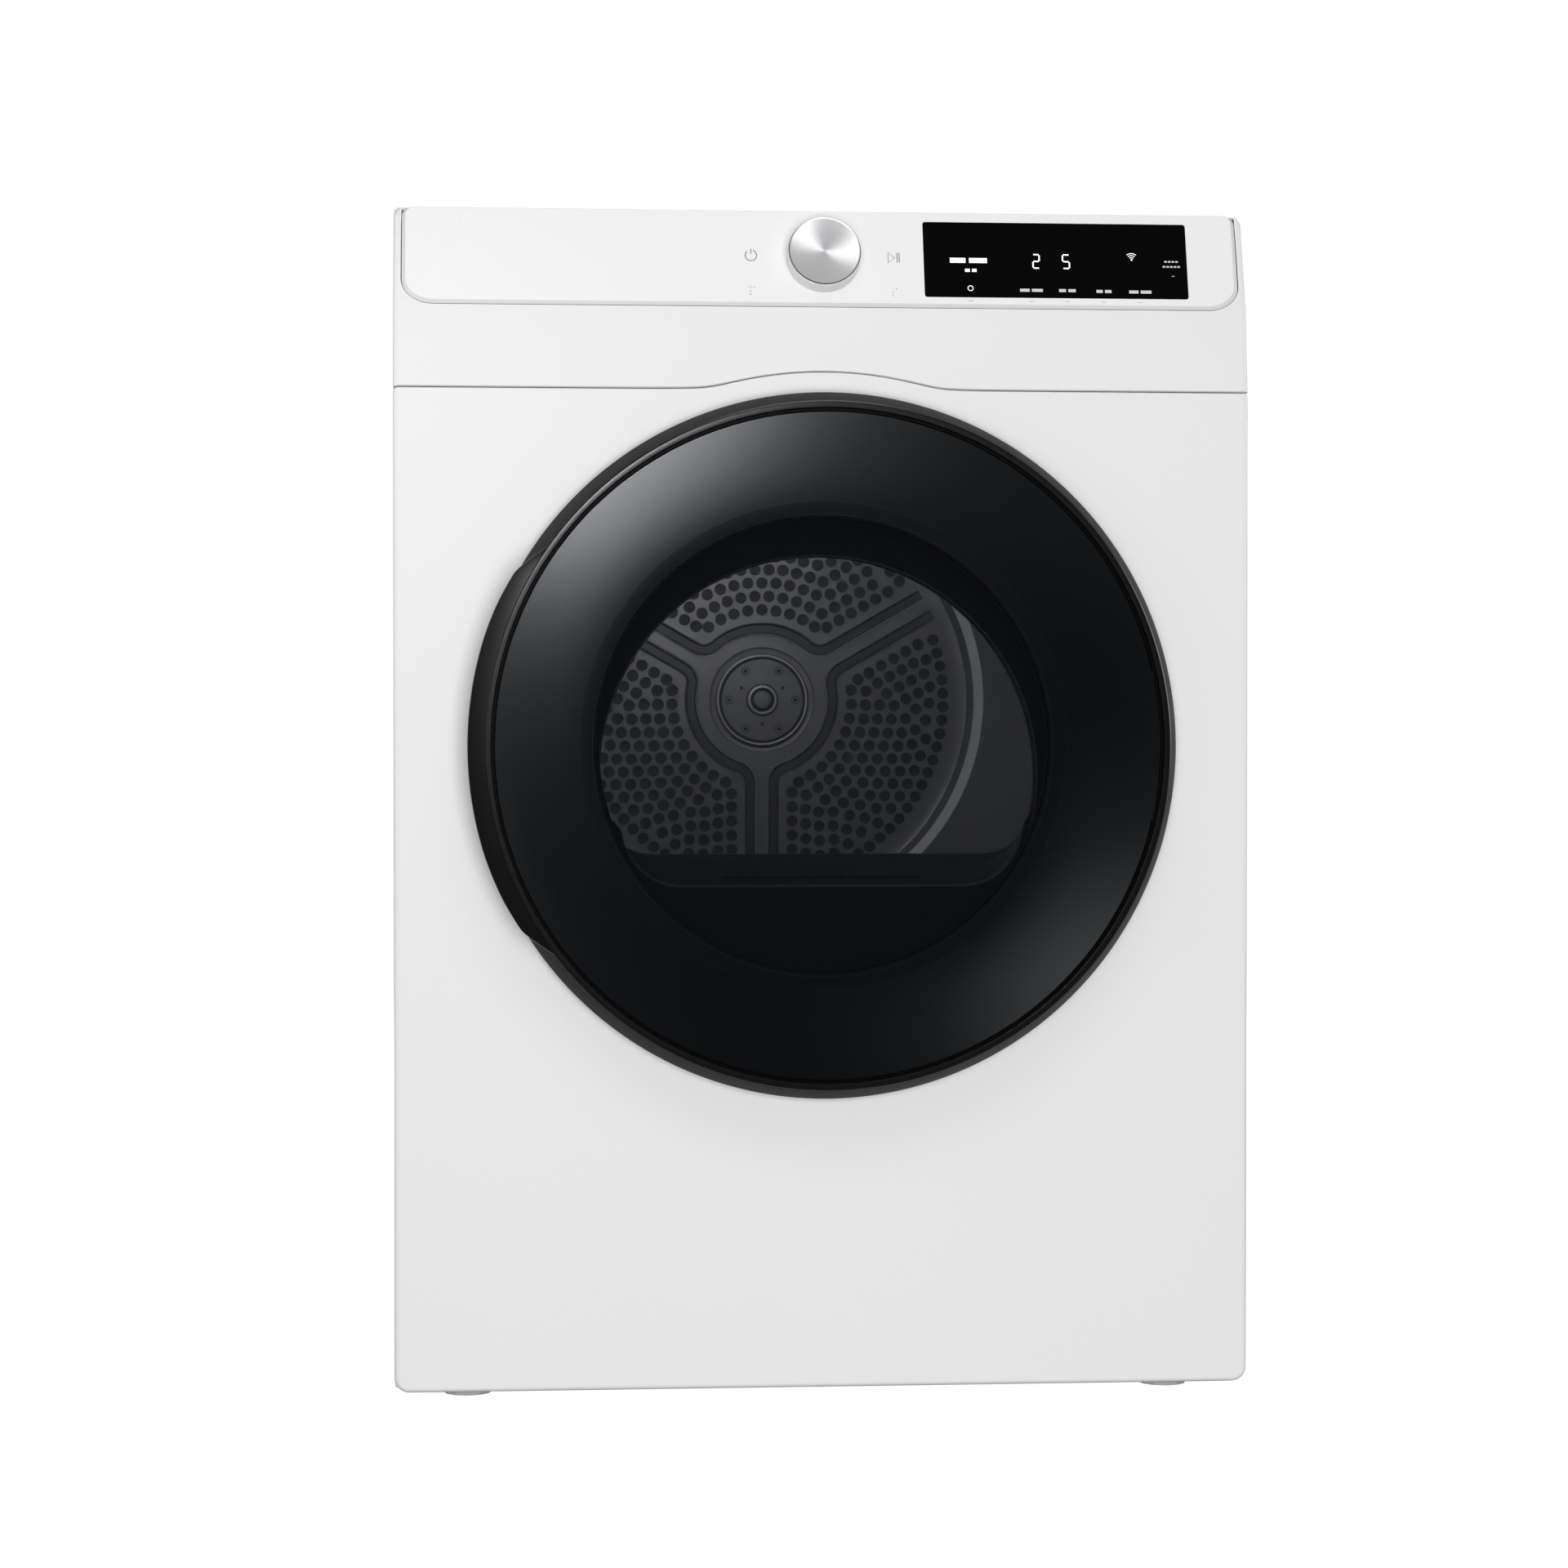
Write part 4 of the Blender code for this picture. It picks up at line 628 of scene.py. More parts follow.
def build_knob():
    """A silver skirt with a flat spun cap, each turned about the knob's own axis."""
    skirt = rounded([(0, 0.0165), (0.0276, 0.0165), (0.0276, 0.0170), (0.0293, 0.0170, 0.0003),
                     (0.0294, 0.0160), (0.0294, 0.0034, 0.0006), (0.0282, 0.0025), (0, 0.0025)],
                    closed=False)
    # the cap's underside, over the gap to the skirt, is painted with the groove shade
    disc = [(0, 0.0187), (0.0277, 0.0190), (0.0285, 0.0189), (0.0289, 0.0186), (0.0289, 0.0176),
            (0.0281, 0.0175), (0.0272, 0.0175), (0.0272, 0.0168), (0, 0.0168)]
    for name, profile, looks, shown, slot, node, sharp in (
            ("knob_skirt", skirt, None, [KNOB_SILVER], "white_plastic", "knob_body", 32),
            ("knob_disc", disc, [0] * 5 + [1] * 3, [CAP_METAL, GROOVE_SHADE], "aluminium", "knob_cap", 40)):
        shape = Shape()
        shape.turn(profile, lambda a, b, n: (a, b, n), 128, closed=False, looks=looks)
        shape.make(name, shown, "knob", slot, [node], sharp, matrix=knob_frame())


# ---- door
DISH_ROOT, DISH_EDGE = 0.1963, 0.2632   # where the dish begins to slope, and its outer edge


def turned(name, profile, world, looks, body, slot, replaces=(), parts=None, closed=True, sharp=32.0):
    shape = Shape()
    shape.turn(profile, world, closed=closed, looks=parts)
    shape.make(name, looks, body, slot, replaces, sharp)


def dish_height(radius):
    """How far the dish stands ahead of the panel, at a distance from its centre."""
    if radius > DISH_ROOT:
        radius = DISH_ROOT + (radius - DISH_ROOT) * 0.0639 / (DISH_EDGE - DISH_ROOT)
    return -0.0080 + 0.0495 * (max(radius - 0.1850, 0.0) / 0.0756) ** 1.3


def build_door():
    door = ahead_of(DOOR_Z)
    side = Shape()
    ring_with_notches(side, rounded([(0.2700, 0.0398), (0.2722, 0.0398, 0.0008), (0.2813, 0.0152, 0.0035),
                                     (0.2730, 0.0062, 0.001), (0.2340, 0.0062, 0.001), (0.2340, 0.0085),
                                     (0.2700, 0.0085)], count=5), door)
    side.make("door_side_skin", [SIDE_BLACK], "door", "black_satin", ["door_side_ring"])

    rim = Shape()
    profile = rounded([(0.2640, 0.0400), (0.2640, 0.0415, 0.0003), (0.2661, 0.0415, 0.0003),
                       (0.2664, 0.0456, 0.0006), (0.2706, 0.0460, 0.0008), (0.2719, 0.0447, 0.0006),
                       (0.2721, 0.0403, 0.0003)])
    # the rim's inner wall, down in the groove beside the dish, is painted with the groove shade
    rim.turn(profile, door, looks=[int(radius < 0.26635) for radius, _ in profile])
    build_ear(rim)
    rim.make("door_rim_skin", [RIM_BLACK, GROOVE_SHADE], "door", "black_satin", ["door_rim"])

    radii = [0.1850, 0.1854, 0.1960] + [DISH_ROOT + (DISH_EDGE - DISH_ROOT) * i / 30 for i in range(31)]
    face = [(r, dish_height(r)) for r in radii]
    lip = [(DISH_EDGE + 0.0003, 0.0411), (DISH_EDGE + 0.0004, 0.0405), (DISH_EDGE + 0.0004, 0.0392)]
    back = [(DISH_EDGE, 0.0375)] + [(r, h - 0.0026) for r, h in face[::-3]] + [(0.1850, -0.0104)]
    profile = face + lip + back
    # the two thin rings at the window's edge and at the dish's root carry the painted highlight line
    turned("door_dish_skin", profile, door, [DOOR_BLACK, DISH_LINE_HIGHLIGHT], "door", "black_gloss", ["door_dish"],
           parts=[1, 0, 1] + [0] * (len(profile) - 3), sharp=50)
    turned("door_glass",
           [(0, -0.0096), (0.1815, -0.0096), (0.1822, -0.0099), (0.1822, -0.0128), (0, -0.0128)],
           door, [GLASS], "door", "smoked_glass", ["door_window"], closed=False)
    turned("window_edge", [(0.1822, -0.0082), (0.1849, -0.0080), (0.1849, -0.0128), (0.1822, -0.0128)],
           door, [DOOR_BLACK], "door", "black_gloss")
    profile = rounded([(0.2320, 0.0055, 0.001), (0.2320, 0.0032, 0.001), (0.2192, 0.0032, 0.0005),
                       (0.2190, -0.0120, 0.003), (0.2140, -0.0163, 0.002), (0.1830, -0.0165, 0.001),
                       (0.1800, -0.0140, 0.001), (0.1800, -0.0132), (0.2160, -0.0132), (0.2165, 0.0050)])
    turned("door_inner_skin", profile, door, [DARK_MOULDED], "door", "dark_plastic", ["door_inner_frame"])

    strike = Shape()
    x0, x1, low, high = LATCH_X - 0.0030, LATCH_X + 0.0030, DOOR_Z - 0.009, DOOR_Z + 0.009
    strike.block((x0, FACE_Y - 0.0055, low), (x1, FACE_Y + 0.0190, high))
    strike.block((x0, FACE_Y + 0.0160, low), (LATCH_X + 0.0075, FACE_Y + 0.0190, high))
    strike.make("door_strike", [BARE_METAL], "door", "aluminium")

    profile = rounded([(0.2193, -0.0042), (0.2215, -0.0042, 0.0006), (0.2239, -0.0066, 0.0010),
                       (0.2215, -0.0094, 0.0006), (0.2193, -0.0094)])
    turned("door_gasket", profile, door, [RUBBER], "door", "rubber", ["door_seal"])


def ring_with_notches(shape, profile, world):
    """The side ring, with the two places left open where the hinge arms come through."""
    steps, arm, half_height = 240, 0.045, 0.0115
    angles = [2 * pi * (i + 0.5) / steps for i in range(steps)]
    ids = [shape.add([world(r * cos(a), r * sin(a), n) for r, n in profile]) for a in angles]
    sides = list(zip(range(len(profile)), profile, profile[1:] + profile[:1]))
    for i, angle in enumerate(angles):
        middle = angle + pi / steps
        at_arm = cos(middle) > 0 and abs(abs(0.262 * sin(middle)) - arm) < half_height
        a, b = ids[i], ids[(i + 1) % steps]
        for k, (r0, n0), (r1, n1) in sides:
            inner_wall = abs(r0 - 0.27) + abs(r1 - 0.27) < 1e-5
            if at_arm and (max(n0, n1) < 0.0300 or inner_wall) and max(r0, r1) > 0.24:
                continue
            j = (k + 1) % len(profile)
            shape.face([a[k], a[j], b[j], b[k]])


EAR_REACH = ((143.5, 0.2692), (151.0, 0.2826), (157.0, 0.2843), (163.0, 0.2849), (198.0, 0.2849),
             (205.0, 0.2842), (211.0, 0.2826), (218.5, 0.2692))


def build_ear(shape):
    """The wider part of the rim that is pulled to open the door."""
    start, end, count = EAR_REACH[0][0], EAR_REACH[-1][0], 76
    sections = []
    for i in range(count + 1):
        turn = start + (end - start) * i / count
        (a, low), (b, high) = next(pair for pair in zip(EAR_REACH, EAR_REACH[1:])
                                     if turn <= pair[1][0] + 1e-9)
        reach = low + (high - low) * (turn - a) / (b - a)
        loop = rounded([(0.2680, 0.0456), (reach - 0.0004, 0.0448, 0.0008), (reach, 0.0418, 0.0008),
                        (reach - 0.0008, 0.0405), (0.2680, 0.0405)], count=3)
        c, s = cos(radians(turn)), sin(radians(turn))
        sections.append([(r * c, FACE_Y - n, DOOR_Z + r * s) for r, n in loop])
    shape.loft(sections, capped=True)


# ---- drum
GROOVE_CENTRE, GROOVE_HALF, ARM_HALF, FILLET = 0.0693, 0.0062, 0.0112, 0.0165
PLATE_RADIUS = 0.1865


EDGE_RING, FIRST_ROW = 0.1772, 0.0183   # the outermost ring of holes; the first row from the channel
THIRD = radians(120)


def both_sides(half):
    """A path and its mirror image across the middle of its third of the wall."""
    return half + [(x * cos(THIRD) + y * sin(THIRD), x * sin(THIRD) - y * cos(THIRD))
                   for x, y in half[-2::-1]]


def groove_path(offset):
    """One third of the embossed channel: in along an arm, past the hub and out along the next arm."""
    lateral = ARM_HALF + offset
    around, level = GROOVE_CENTRE + FILLET, ARM_HALF + FILLET
    run = sqrt(around ** 2 - level ** 2)
    turn = degrees(atan2(level, run))
    outer = sqrt(PLATE_RADIUS ** 2 - lateral ** 2)
    return both_sides([(outer + (run - outer) * i / 12, lateral) for i in range(12)]
                      + arc((run, level), FILLET - offset, 270, 180 + turn, 9)
                      + arc((0, 0), GROOVE_CENTRE + offset, turn, 60, 9)[1:])


def spin(points, angle):
    c, s = cos(radians(angle)), sin(radians(angle))
    return [(x * c - y * s, x * s + y * c) for x, y in points]


def hole_centres():
    """Rows of holes that follow the channel, in one third of the wall."""
    pitch, row_step = 0.01385, 0.0133
    kept = []
    ring_count = int(radians(120) * EDGE_RING / pitch) + 1
    for i in range(ring_count + 1):
        angle = radians(120 * (i + 0.5) / (ring_count + 1))
        point = Vector((EDGE_RING * cos(angle), EDGE_RING * sin(angle)))
        if arm_distance(point) > ARM_HALF + FIRST_ROW - 0.002:
            kept.append(point)
    for row in range(9):
        offset = FIRST_ROW + row * row_step
        lateral, hub = ARM_HALF + offset, GROOVE_CENTRE + offset
        if hub > EDGE_RING or hub <= lateral * 1.02:
            break
        path = row_path(lateral, hub)
        lengths = [0.0]
        for a, b in zip(path, path[1:]):
            lengths.append(lengths[-1] + (b - a).length)
        for k in range(-20, 21):
            target = lengths[-1] / 2 + (k + row % 2 * 0.5) * pitch
            if not 0 <= target <= lengths[-1]:
                continue
            i = min(max(j for j in range(len(lengths)) if lengths[j] <= target), len(path) - 2)
            share = (target - lengths[i]) / max(lengths[i + 1] - lengths[i], 1e-9)
            point = path[i].lerp(path[i + 1], share)
            if point.length < EDGE_RING - 0.008 and all((point - q).length > 0.0118 for q in kept):
                kept.append(point)
        if row == 0:
            fixed = len(kept)
    return settle_holes(kept, fixed)


def settle_holes(kept, fixed):
    """Fill what the rows leave open, then even out the spacing of the holes that may move."""
    step = 0.002
    for i in range(-90, 91):
        for j in range(0, 91):
            point = Vector((i * step, j * step))
            inside = (2 < degrees(atan2(point.y, point.x)) < 118 and off_channel(point)
                      and point.length < EDGE_RING - 0.0105)
            if inside and all((point - q).length > 0.0120 for q in kept):
                kept.append(point)
    for _ in range(14):
        moves = []
        for point in kept[fixed:]:
            push = Vector((0.0, 0.0))
            for other in kept:
                gap = (point - other).length
                if 0 < gap < 0.0150:
                    push += (point - other) / gap * (0.0150 - gap) * 0.18
            moves.append(point + push)
        for number, point in enumerate(moves, start=fixed):
            if off_channel(point):
                kept[number] = point
    return kept


def arm_distance(point):
    """Distance from the middle line of the nearer arm."""
    return min(abs(point.y), abs(point.x * sin(THIRD) - point.y * cos(THIRD)))


def off_channel(point):
    return arm_distance(point) > ARM_HALF + FIRST_ROW and point.length > GROOVE_CENTRE + FIRST_ROW


def row_path(lateral, hub):
    """A row of holes: along an arm at this distance, round the hub at this radius, and out again."""
    fillet = max(FILLET - (lateral - ARM_HALF), 0.0)
    corner = sqrt(hub ** 2 - lateral ** 2)
    outer = sqrt(0.180 ** 2 - lateral ** 2) if lateral < 0.179 else corner
    straight = [(corner, lateral)]
    if outer > corner + fillet:
        straight = [(outer, lateral), (corner + fillet, lateral)]
    return [Vector(p) for p in both_sides(straight + arc((0, 0), hub, degrees(asin(lateral / hub)), 60, 12))]


ARM_START = 30                   # the first arm of the wall, in degrees from +X


def build_drum_wall():
    """The wall in three equal parts, each with its holes and its stretch of the pressed channel."""
    wall = ahead_of(DRUM_Z)

    def at(x, y, height=0.0):
        return wall(x, y, height - DRUM_WALL)

    shape = Shape()
    holes = [tuple(point) for point in hole_centres()]
    radius, lip, cup, sides = 0.0055, 0.0061, 0.0022, 14
    channel = ((GROOVE_HALF, 0.0), (GROOVE_HALF - 0.0006, 0.0003), (GROOVE_HALF - 0.0016, -0.0006),
               (GROOVE_HALF - 0.0028, -0.0026), (-GROOVE_HALF + 0.0028, -0.0026),
               (-GROOVE_HALF + 0.0016, -0.0006), (-GROOVE_HALF + 0.0006, 0.0007), (-GROOVE_HALF, 0.0004))
    inner = []
    for third in range(3):
        turn_by = ARM_START + 120 * third
        outer_path = spin(groove_path(GROOVE_HALF), turn_by)
        a0, a1 = [degrees(atan2(y, x)) for x, y in (outer_path[0], outer_path[-1])]
        rim = arc((0, 0), PLATE_RADIUS, a0, a1 + 360 if a1 < a0 else a1, 40)[1:-1]
        centres = spin(holes, turn_by)
        shape.fill([outer_path + rim[::-1]] + [circle(c, lip, sides) for c in centres], at)
        for c in centres:
            shape.loft(stacked(lambda r: circle(c, r, sides),
                               ((lip, 0.0), (lip - 0.0003, 0.0003), (radius, 0.0001)), at))
            # each hole is a shallow cup painted with the hole shade, standing in for the shadow seen through
            # a hole
            down = shape.loft([[at(x, y, h) for x, y in circle(c, radius, sides)]
                               for h in (0.0001, -cup)], look=1)
            shape.face(down[-1], 1)
        ids = [shape.add([at(x, y, height * fade(x, y)) for x, y in spin(groove_path(offset), turn_by)])
               for offset, height in channel]
        # one wall and the floor of the channel take the painted channel shade, the lip of the other wall the
        # painted channel highlight
        for a, b, look in zip(ids, ids[1:], (0, 0, 2, 2, 2, 4, 0)):
            shape.bridge(a, b, False, look)
        inner += spin(groove_path(-GROOVE_HALF), turn_by)
    shape.fill([inner, circle((0, 0), 0.0510, 96)], lambda x, y: at(x, y, 0.0004))
    shape.loft(stacked(lambda r: circle((0, 0), r, 96),
                       ((0.0510, 0.0004), (0.0502, -0.0018), (0.0470, -0.0022), (0.0440, -0.0022)), at))
    # plain ring, step painted with a highlight, and flange
    ring = [(PLATE_RADIUS - 0.0002, 0), (0.1985, 0), (0.2000, 0.0006), (0.2010, 0.0020), (0.2060, 0.0092),
            (0.2128, 0.0190), (0.2140, 0.0200), (0.3050, 0.0200), (0.3055, 0.0190)]
    shape.turn(ring, at, closed=False, looks=[0, 0, 0, 0, 3, 3, 0, 0])
    shape.make("drum_rear_wall", [DRUM_WALL_STEEL, HOLE_SHADE, CHANNEL_SHADE, STEP_HIGHLIGHT, CHANNEL_HIGHLIGHT],
               "drum", "drum_steel", ["drum_back"], sharp=28, weld=1e-5)


def fade(x, y):
    """The channel runs out before it reaches the edge of the wall."""
    return min(1.0, max(0.0, (PLATE_RADIUS - hypot(x, y)) / 0.006))


def build_hub():
    place = ahead_of(DRUM_Z)

    def world(a, b, n):
        return place(a, b, n - DRUM_WALL)

    shape = Shape()
    profile = rounded([(0, 0.0081), (0.0082, 0.0078, 0.0010), (0.0092, 0.0046, 0.0006),
                       (0.0106, 0.0044, 0.0004),
                       (0.0116, 0.0076, 0.0008), (0.0142, 0.0070, 0.0010), (0.0156, 0.0034, 0.0006),
                       (0.0392, 0.0032, 0.0004), (0.0398, 0.0018), (0.0416, 0.0018), (0.0422, 0.0032, 0.0004),
                       (0.0438, 0.0032, 0.0008), (0.0452, 0.0014, 0.0006), (0.0452, -0.0012)],
                      closed=False)
    # the hub's grooves are painted with the hole shade and the edges of its rings with the channel highlight
    dark, light = ((0.0088, 0.0110), (0.0393, 0.0417), (0.0146, 0.0157)), ((0.0419, 0.0436), (0.0116, 0.0128))
    looks = [1 if any(a < r < b for a, b in dark) else 2 if any(a < r < b for a, b in light) else 0
             for r, _ in profile]
    shape.turn(profile, world, 128, closed=False, looks=looks)
    # the ring round each screw head, its recess and the three small holes are painted with the hole shade
    bolt = ((0.0042, 0.0037, 1), (0.0035, 0.0043, 0), (0.0019, 0.0044, 1))
    for count, reach, first, sides, rings in ((6, 0.0324, 0, 18, bolt),
                                              (3, 0.0232, 30, 14, ((0.0017, 0.0036, 1),))):
        for centre in [arc((0, 0), reach, first + 360 * k / count, 0, 2)[0] for k in range(count)]:
            for radius, top, look in rings:
                shape.prism(circle(centre, radius, sides), world, 0.0030, top, look)
    shape.make("drum_hub_cover", [HUB_METAL, HOLE_SHADE, CHANNEL_HIGHLIGHT], "drum", "aluminium", ["drum_hub"])


def build_drum_shell():
    outer, skin, neck = 0.3218, 0.0011, 0.3105
    inside = [(neck - skin, -0.0600), (neck - skin, -0.0850), (outer - skin - 0.001, -0.0955)]
    for deep in [0.150 + 0.095 * k for k in range(5)]:
        inside += [(outer - skin, -deep), (outer - skin - 0.0016, -deep - 0.004),
                   (outer - skin, -deep - 0.008)]
    inside += [(outer - skin, -0.6170), (outer - 0.0110, -0.6325), (outer - 0.0200, -0.6333)]
    turned("drum_cylinder", inside + [(r + skin, n) for r, n in inside[::-1]], ahead_of(DRUM_Z),
           [DRUM_STEEL], "drum", "drum_steel", ["drum_shell"])
    for number, angle in enumerate((30, 150, 270), start=1):
        build_lifter(number, angle)


def build_lifter(number, angle):
    """A moulded baffle with soft edges and a crowned back."""
    sections = []
    low = 0.3168
    c, s = cos(radians(angle)), sin(radians(angle))
    for k in range(25):
        ease = min(1.0, min(k / 24, 1 - k / 24) / 0.10)
        tip = low - 0.0413 * (0.25 + 0.75 * sqrt(max(0.0, 1 - (1 - ease) ** 2)))
        loop = rounded([(-0.034, low), (-0.029, low - 0.007, 0.004), (-0.012, tip + 0.004, 0.006),
                        (0.0, tip, 0.010), (0.012, tip + 0.004, 0.006), (0.029, low - 0.007, 0.004),
                        (0.034, low)], closed=False)
        deep = FACE_Y + 0.130 + 0.460 * k / 24
        sections.append([(r * c - a * s, deep, DRUM_Z + r * s + a * c) for a, r in loop])
    shape = Shape()
    shape.loft(sections, capped=True)
    shape.make(f"drum_baffle_{number}", [DARK_MOULDED], "drum", "dark_plastic", [f"drum_lifter_{number}"])


# ---- mouth of the drum
MOUTH_R, MOUTH_Z, SILL_Z = 0.178, 0.4995, 0.4357
def mouth_outline(grow, count=72):
    """Round above with a level sill; grow moves it outwards."""
    radius, fillet = MOUTH_R + grow, 0.040 + grow
    drop = MOUTH_Z - SILL_Z + grow
    corner_x = sqrt((radius - fillet) ** 2 - (drop - fillet) ** 2)
    corner_z = MOUTH_Z - drop + fillet
    touch = degrees(atan2(corner_z - MOUTH_Z, corner_x))
    return (arc((0, MOUTH_Z), radius, touch, 180 - touch, count)
            + arc((-corner_x, corner_z), fillet, 180 - touch, 270, 12)[1:]
            + arc((corner_x, corner_z), fillet, 270, 360 + touch, 12)[:-1])


def build_mouth():
    shape = Shape()
    # rolled lip of the mouth; its crest carries the painted bead highlight
    lip = [(0.0000, -0.0700), (0.0000, -0.0545), (0.0004, -0.0528), (0.0016, -0.0520), (0.0040, -0.0520)]
    shape.loft([[front(a, b, n) for a, b in mouth_outline(grow)] for grow, n in lip[:3]])
    shape.loft([[front(a, b, n) for a, b in mouth_outline(grow)] for grow, n in lip[2:4]], look=1)
    shape.loft([[front(a, b, n) for a, b in mouth_outline(grow)] for grow, n in lip[3:]])
    outer = circle((0, DOOR_Z), 0.2385, 128)
    shape.fill([outer, mouth_outline(0.0040)], lambda a, b: front(a, b, -0.0520))
    rooms = ((174.9, 197.3, 0.0300), (241.6, 298.4, 0.0495))
    stops = [i * 360 / 128 for i in range(128)]
    stops += [edge + side for room in rooms for edge in room[:2] for side in (-0.02, 0.02)]
    sections = []
    for turn in sorted(stops):
        near = max([0.0018] + [deep for start, end, deep in rooms if start <= turn <= end])
        a, b = cos(radians(turn)), sin(radians(turn))
        section = [(0.2400, -near), (0.2398, -0.0510), (0.2385, -0.0520), (0.2412, -0.0520), (0.2412, -near)]
        sections.append([ahead_of(DOOR_Z)(a * r, b * r, n) for r, n in section])
    shape.loft(sections, around=True)
    glide = [(0.2450, -0.0530), (0.2985, -0.0530), (0.3003, -0.0550), (0.3003, -0.0870), (0.2993, -0.0870),
             (0.2993, -0.0540), (0.2450, -0.0536)]
    shape.turn(glide, ahead_of(DRUM_Z), 128)
    plate = corner_box((-0.329, 0.241), (0.329, 0.924), [0.02] * 4, 6)
    shape.fill([plate, circle((0, DRUM_Z), 0.2985, 96)], lambda a, b: front(a, b, -0.0534))
    shape.make("drum_mouth_surround", [INNER_DARK, BEAD_HIGHLIGHT], "cabinet", "dark_plastic",
               ["front_bulkhead"], sharp=40)
    build_ledge()


CORNER_X = sqrt((MOUTH_R - 0.040) ** 2 - (MOUTH_Z - SILL_Z - 0.040) ** 2)
LID_HALF = 0.1110
BEAD_DROP, BEAD_DEEP = 0.0232, 0.0172


def ledge_rows():
    """Section of the ledge as (drop below the sill, depth): hollow, and flatter towards its front."""
    rows = [(0.0002, 0.0516)]
    for k in range(1, 13):
        share = k / 12
        rows.append((BEAD_DROP * share ** 0.80, 0.0516 - (0.0516 - BEAD_DEEP - 0.0010) * share ** 1.6))
    return rows


def ledge_corner(drop):
    """Centre and radius of a ledge row's rounded end; the ends draw in towards the front."""
    share = min(drop / BEAD_DROP, 1.0)
    fillet = 0.040 + 0.009 * share
    return (CORNER_X + (0.1130 - CORNER_X) * share, SILL_Z - drop + fillet), fillet


def corner_run(side, drop, deep, sweep):
    """One end of a ledge row: along the row from the filter lid, then up round the mouth's corner."""
    centre, fillet = ledge_corner(drop)
    rise = arc(centre, fillet, 270, 270 + sweep, 16)
    start = [(LID_HALF + 0.0003, centre[1] - fillet)]
    return [front(side * a, b, -deep) for a, b in start + rise]


def build_ledge():
    """The moulded ledge below the mouth, its bead, and the apron that covers the lint duct."""
    shape = Shape()
    for side in (1, -1):
        rows = [(drop, deep, 84) for drop, deep in ledge_rows()]
        # the bead along the ledge's front is painted with the bead highlight
        bead = [(BEAD_DROP + 0.0004, BEAD_DEEP - 0.0001, 84), (BEAD_DROP + 0.0012, BEAD_DEEP - 0.0003, 84),
                (BEAD_DROP + 0.0020, BEAD_DEEP, 84)]
        ids = [shape.add(corner_run(side, *row)) for row in rows + bead]
        # the ledge's rows take the painted ledge light and the bead the painted bead highlight
        for number, (a, b) in enumerate(zip(ids, ids[1:])):
            shape.bridge(a, b, False, 1 if number < len(rows) - 1 else 2)
    foot = BEAD_DROP + 0.0020
    centre, fillet = ledge_corner(foot)
    right = arc(centre, fillet, 270, 354, 16)
    top = [(-a, b) for a, b in right[::-1]] + right
    end = top[-1]
    sweep = degrees(asin((end[1] - DOOR_Z) / 0.2383))
    lower = arc((0, DOOR_Z), 0.2383, sweep, -180 - sweep, 60)
    shape.fill([top + lower], lambda a, b: front(a, b, -BEAD_DEEP))
    for side in (1, -1):
        edge = [(side * end[0], end[1]), (side * lower[0][0], lower[0][1])]
        shape.loft([[front(a, b, -deep) for a, b in edge] for deep in (BEAD_DEEP, 0.0516)], closed=False)
    # the bead, with its painted highlight, carries on below the filter lid
    across = [-LID_HALF - 0.0003, LID_HALF + 0.0003]
    shape.loft([[front(x, SILL_Z - drop, -deep) for x in across]
                for drop, deep in ((BEAD_DROP, BEAD_DEEP + 0.0010), (BEAD_DROP + 0.0004, BEAD_DEEP - 0.0001),
                                   (BEAD_DROP + 0.0012, BEAD_DEEP - 0.0003), (foot, BEAD_DEEP))],
               closed=False, look=2)
    shape.make("sill_ledge", [INNER_DARK, LEDGE_LIT, BEAD_HIGHLIGHT], "cabinet", "dark_plastic", sharp=50)


def build_lint_filter():
    """The filter: its lid is the middle of the ledge, and the framed screen hangs below it."""
    shape = Shape()
    rows = ledge_rows()
    outer = [(SILL_Z - drop, deep) for drop, deep in rows]
    inner = [(z - 0.0007, deep + 0.0004) for z, deep in outer[::-1]]
    loops = [[front(x, z, -deep) for z, deep in outer + inner] for x in (-LID_HALF, LID_HALF)]
    # the filter lid is painted with the ledge light, like the ledge either side
    ids = shape.loft([list(loop) for loop in loops], look=1)
    shape.face(ids[0], 1)
    shape.face(ids[1][::-1], 1)
    half, low, high = 0.100, 0.2850, 0.4130
    y0, y1 = FACE_Y + 0.0200, FACE_Y + 0.0330
    shape.block((-half, y0, low), (half, y1, low + 0.008))
    shape.block((-half, y0, high - 0.008), (half, y1, high - 0.0010))
    for x in (-half, half - 0.008):
        shape.block((x, y0, low), (x + 0.008, y1, high - 0.0010))
    shape.block((-0.080, FACE_Y + 0.0300, high - 0.0080), (0.080, FACE_Y + 0.0325, high + 0.0060))
    mesh_sheet = Shape()
    for k in range(25):
        x = -0.0915 + 0.183 * k / 24
        mesh_sheet.block((x - 0.0008, FACE_Y + 0.0259, low + 0.004),
                         (x + 0.0008, FACE_Y + 0.0265, high - 0.004))
    for k in range(17):
        z = low + 0.007 + (high - low - 0.016) * k / 16
        mesh_sheet.block((-0.0960, FACE_Y + 0.0265, z - 0.0008), (0.0960, FACE_Y + 0.0271, z + 0.0008))
    mesh_sheet.make("lint_filter_mesh", [GREY_MOULDED], "lint_filter", "grey_plastic", ["lint_filter_screen"])
    shape.make("lint_filter_body", [DARK_MOULDED, LEDGE_LIT], "lint_filter", "dark_plastic",
               ["lint_filter_frame"], sharp=50)


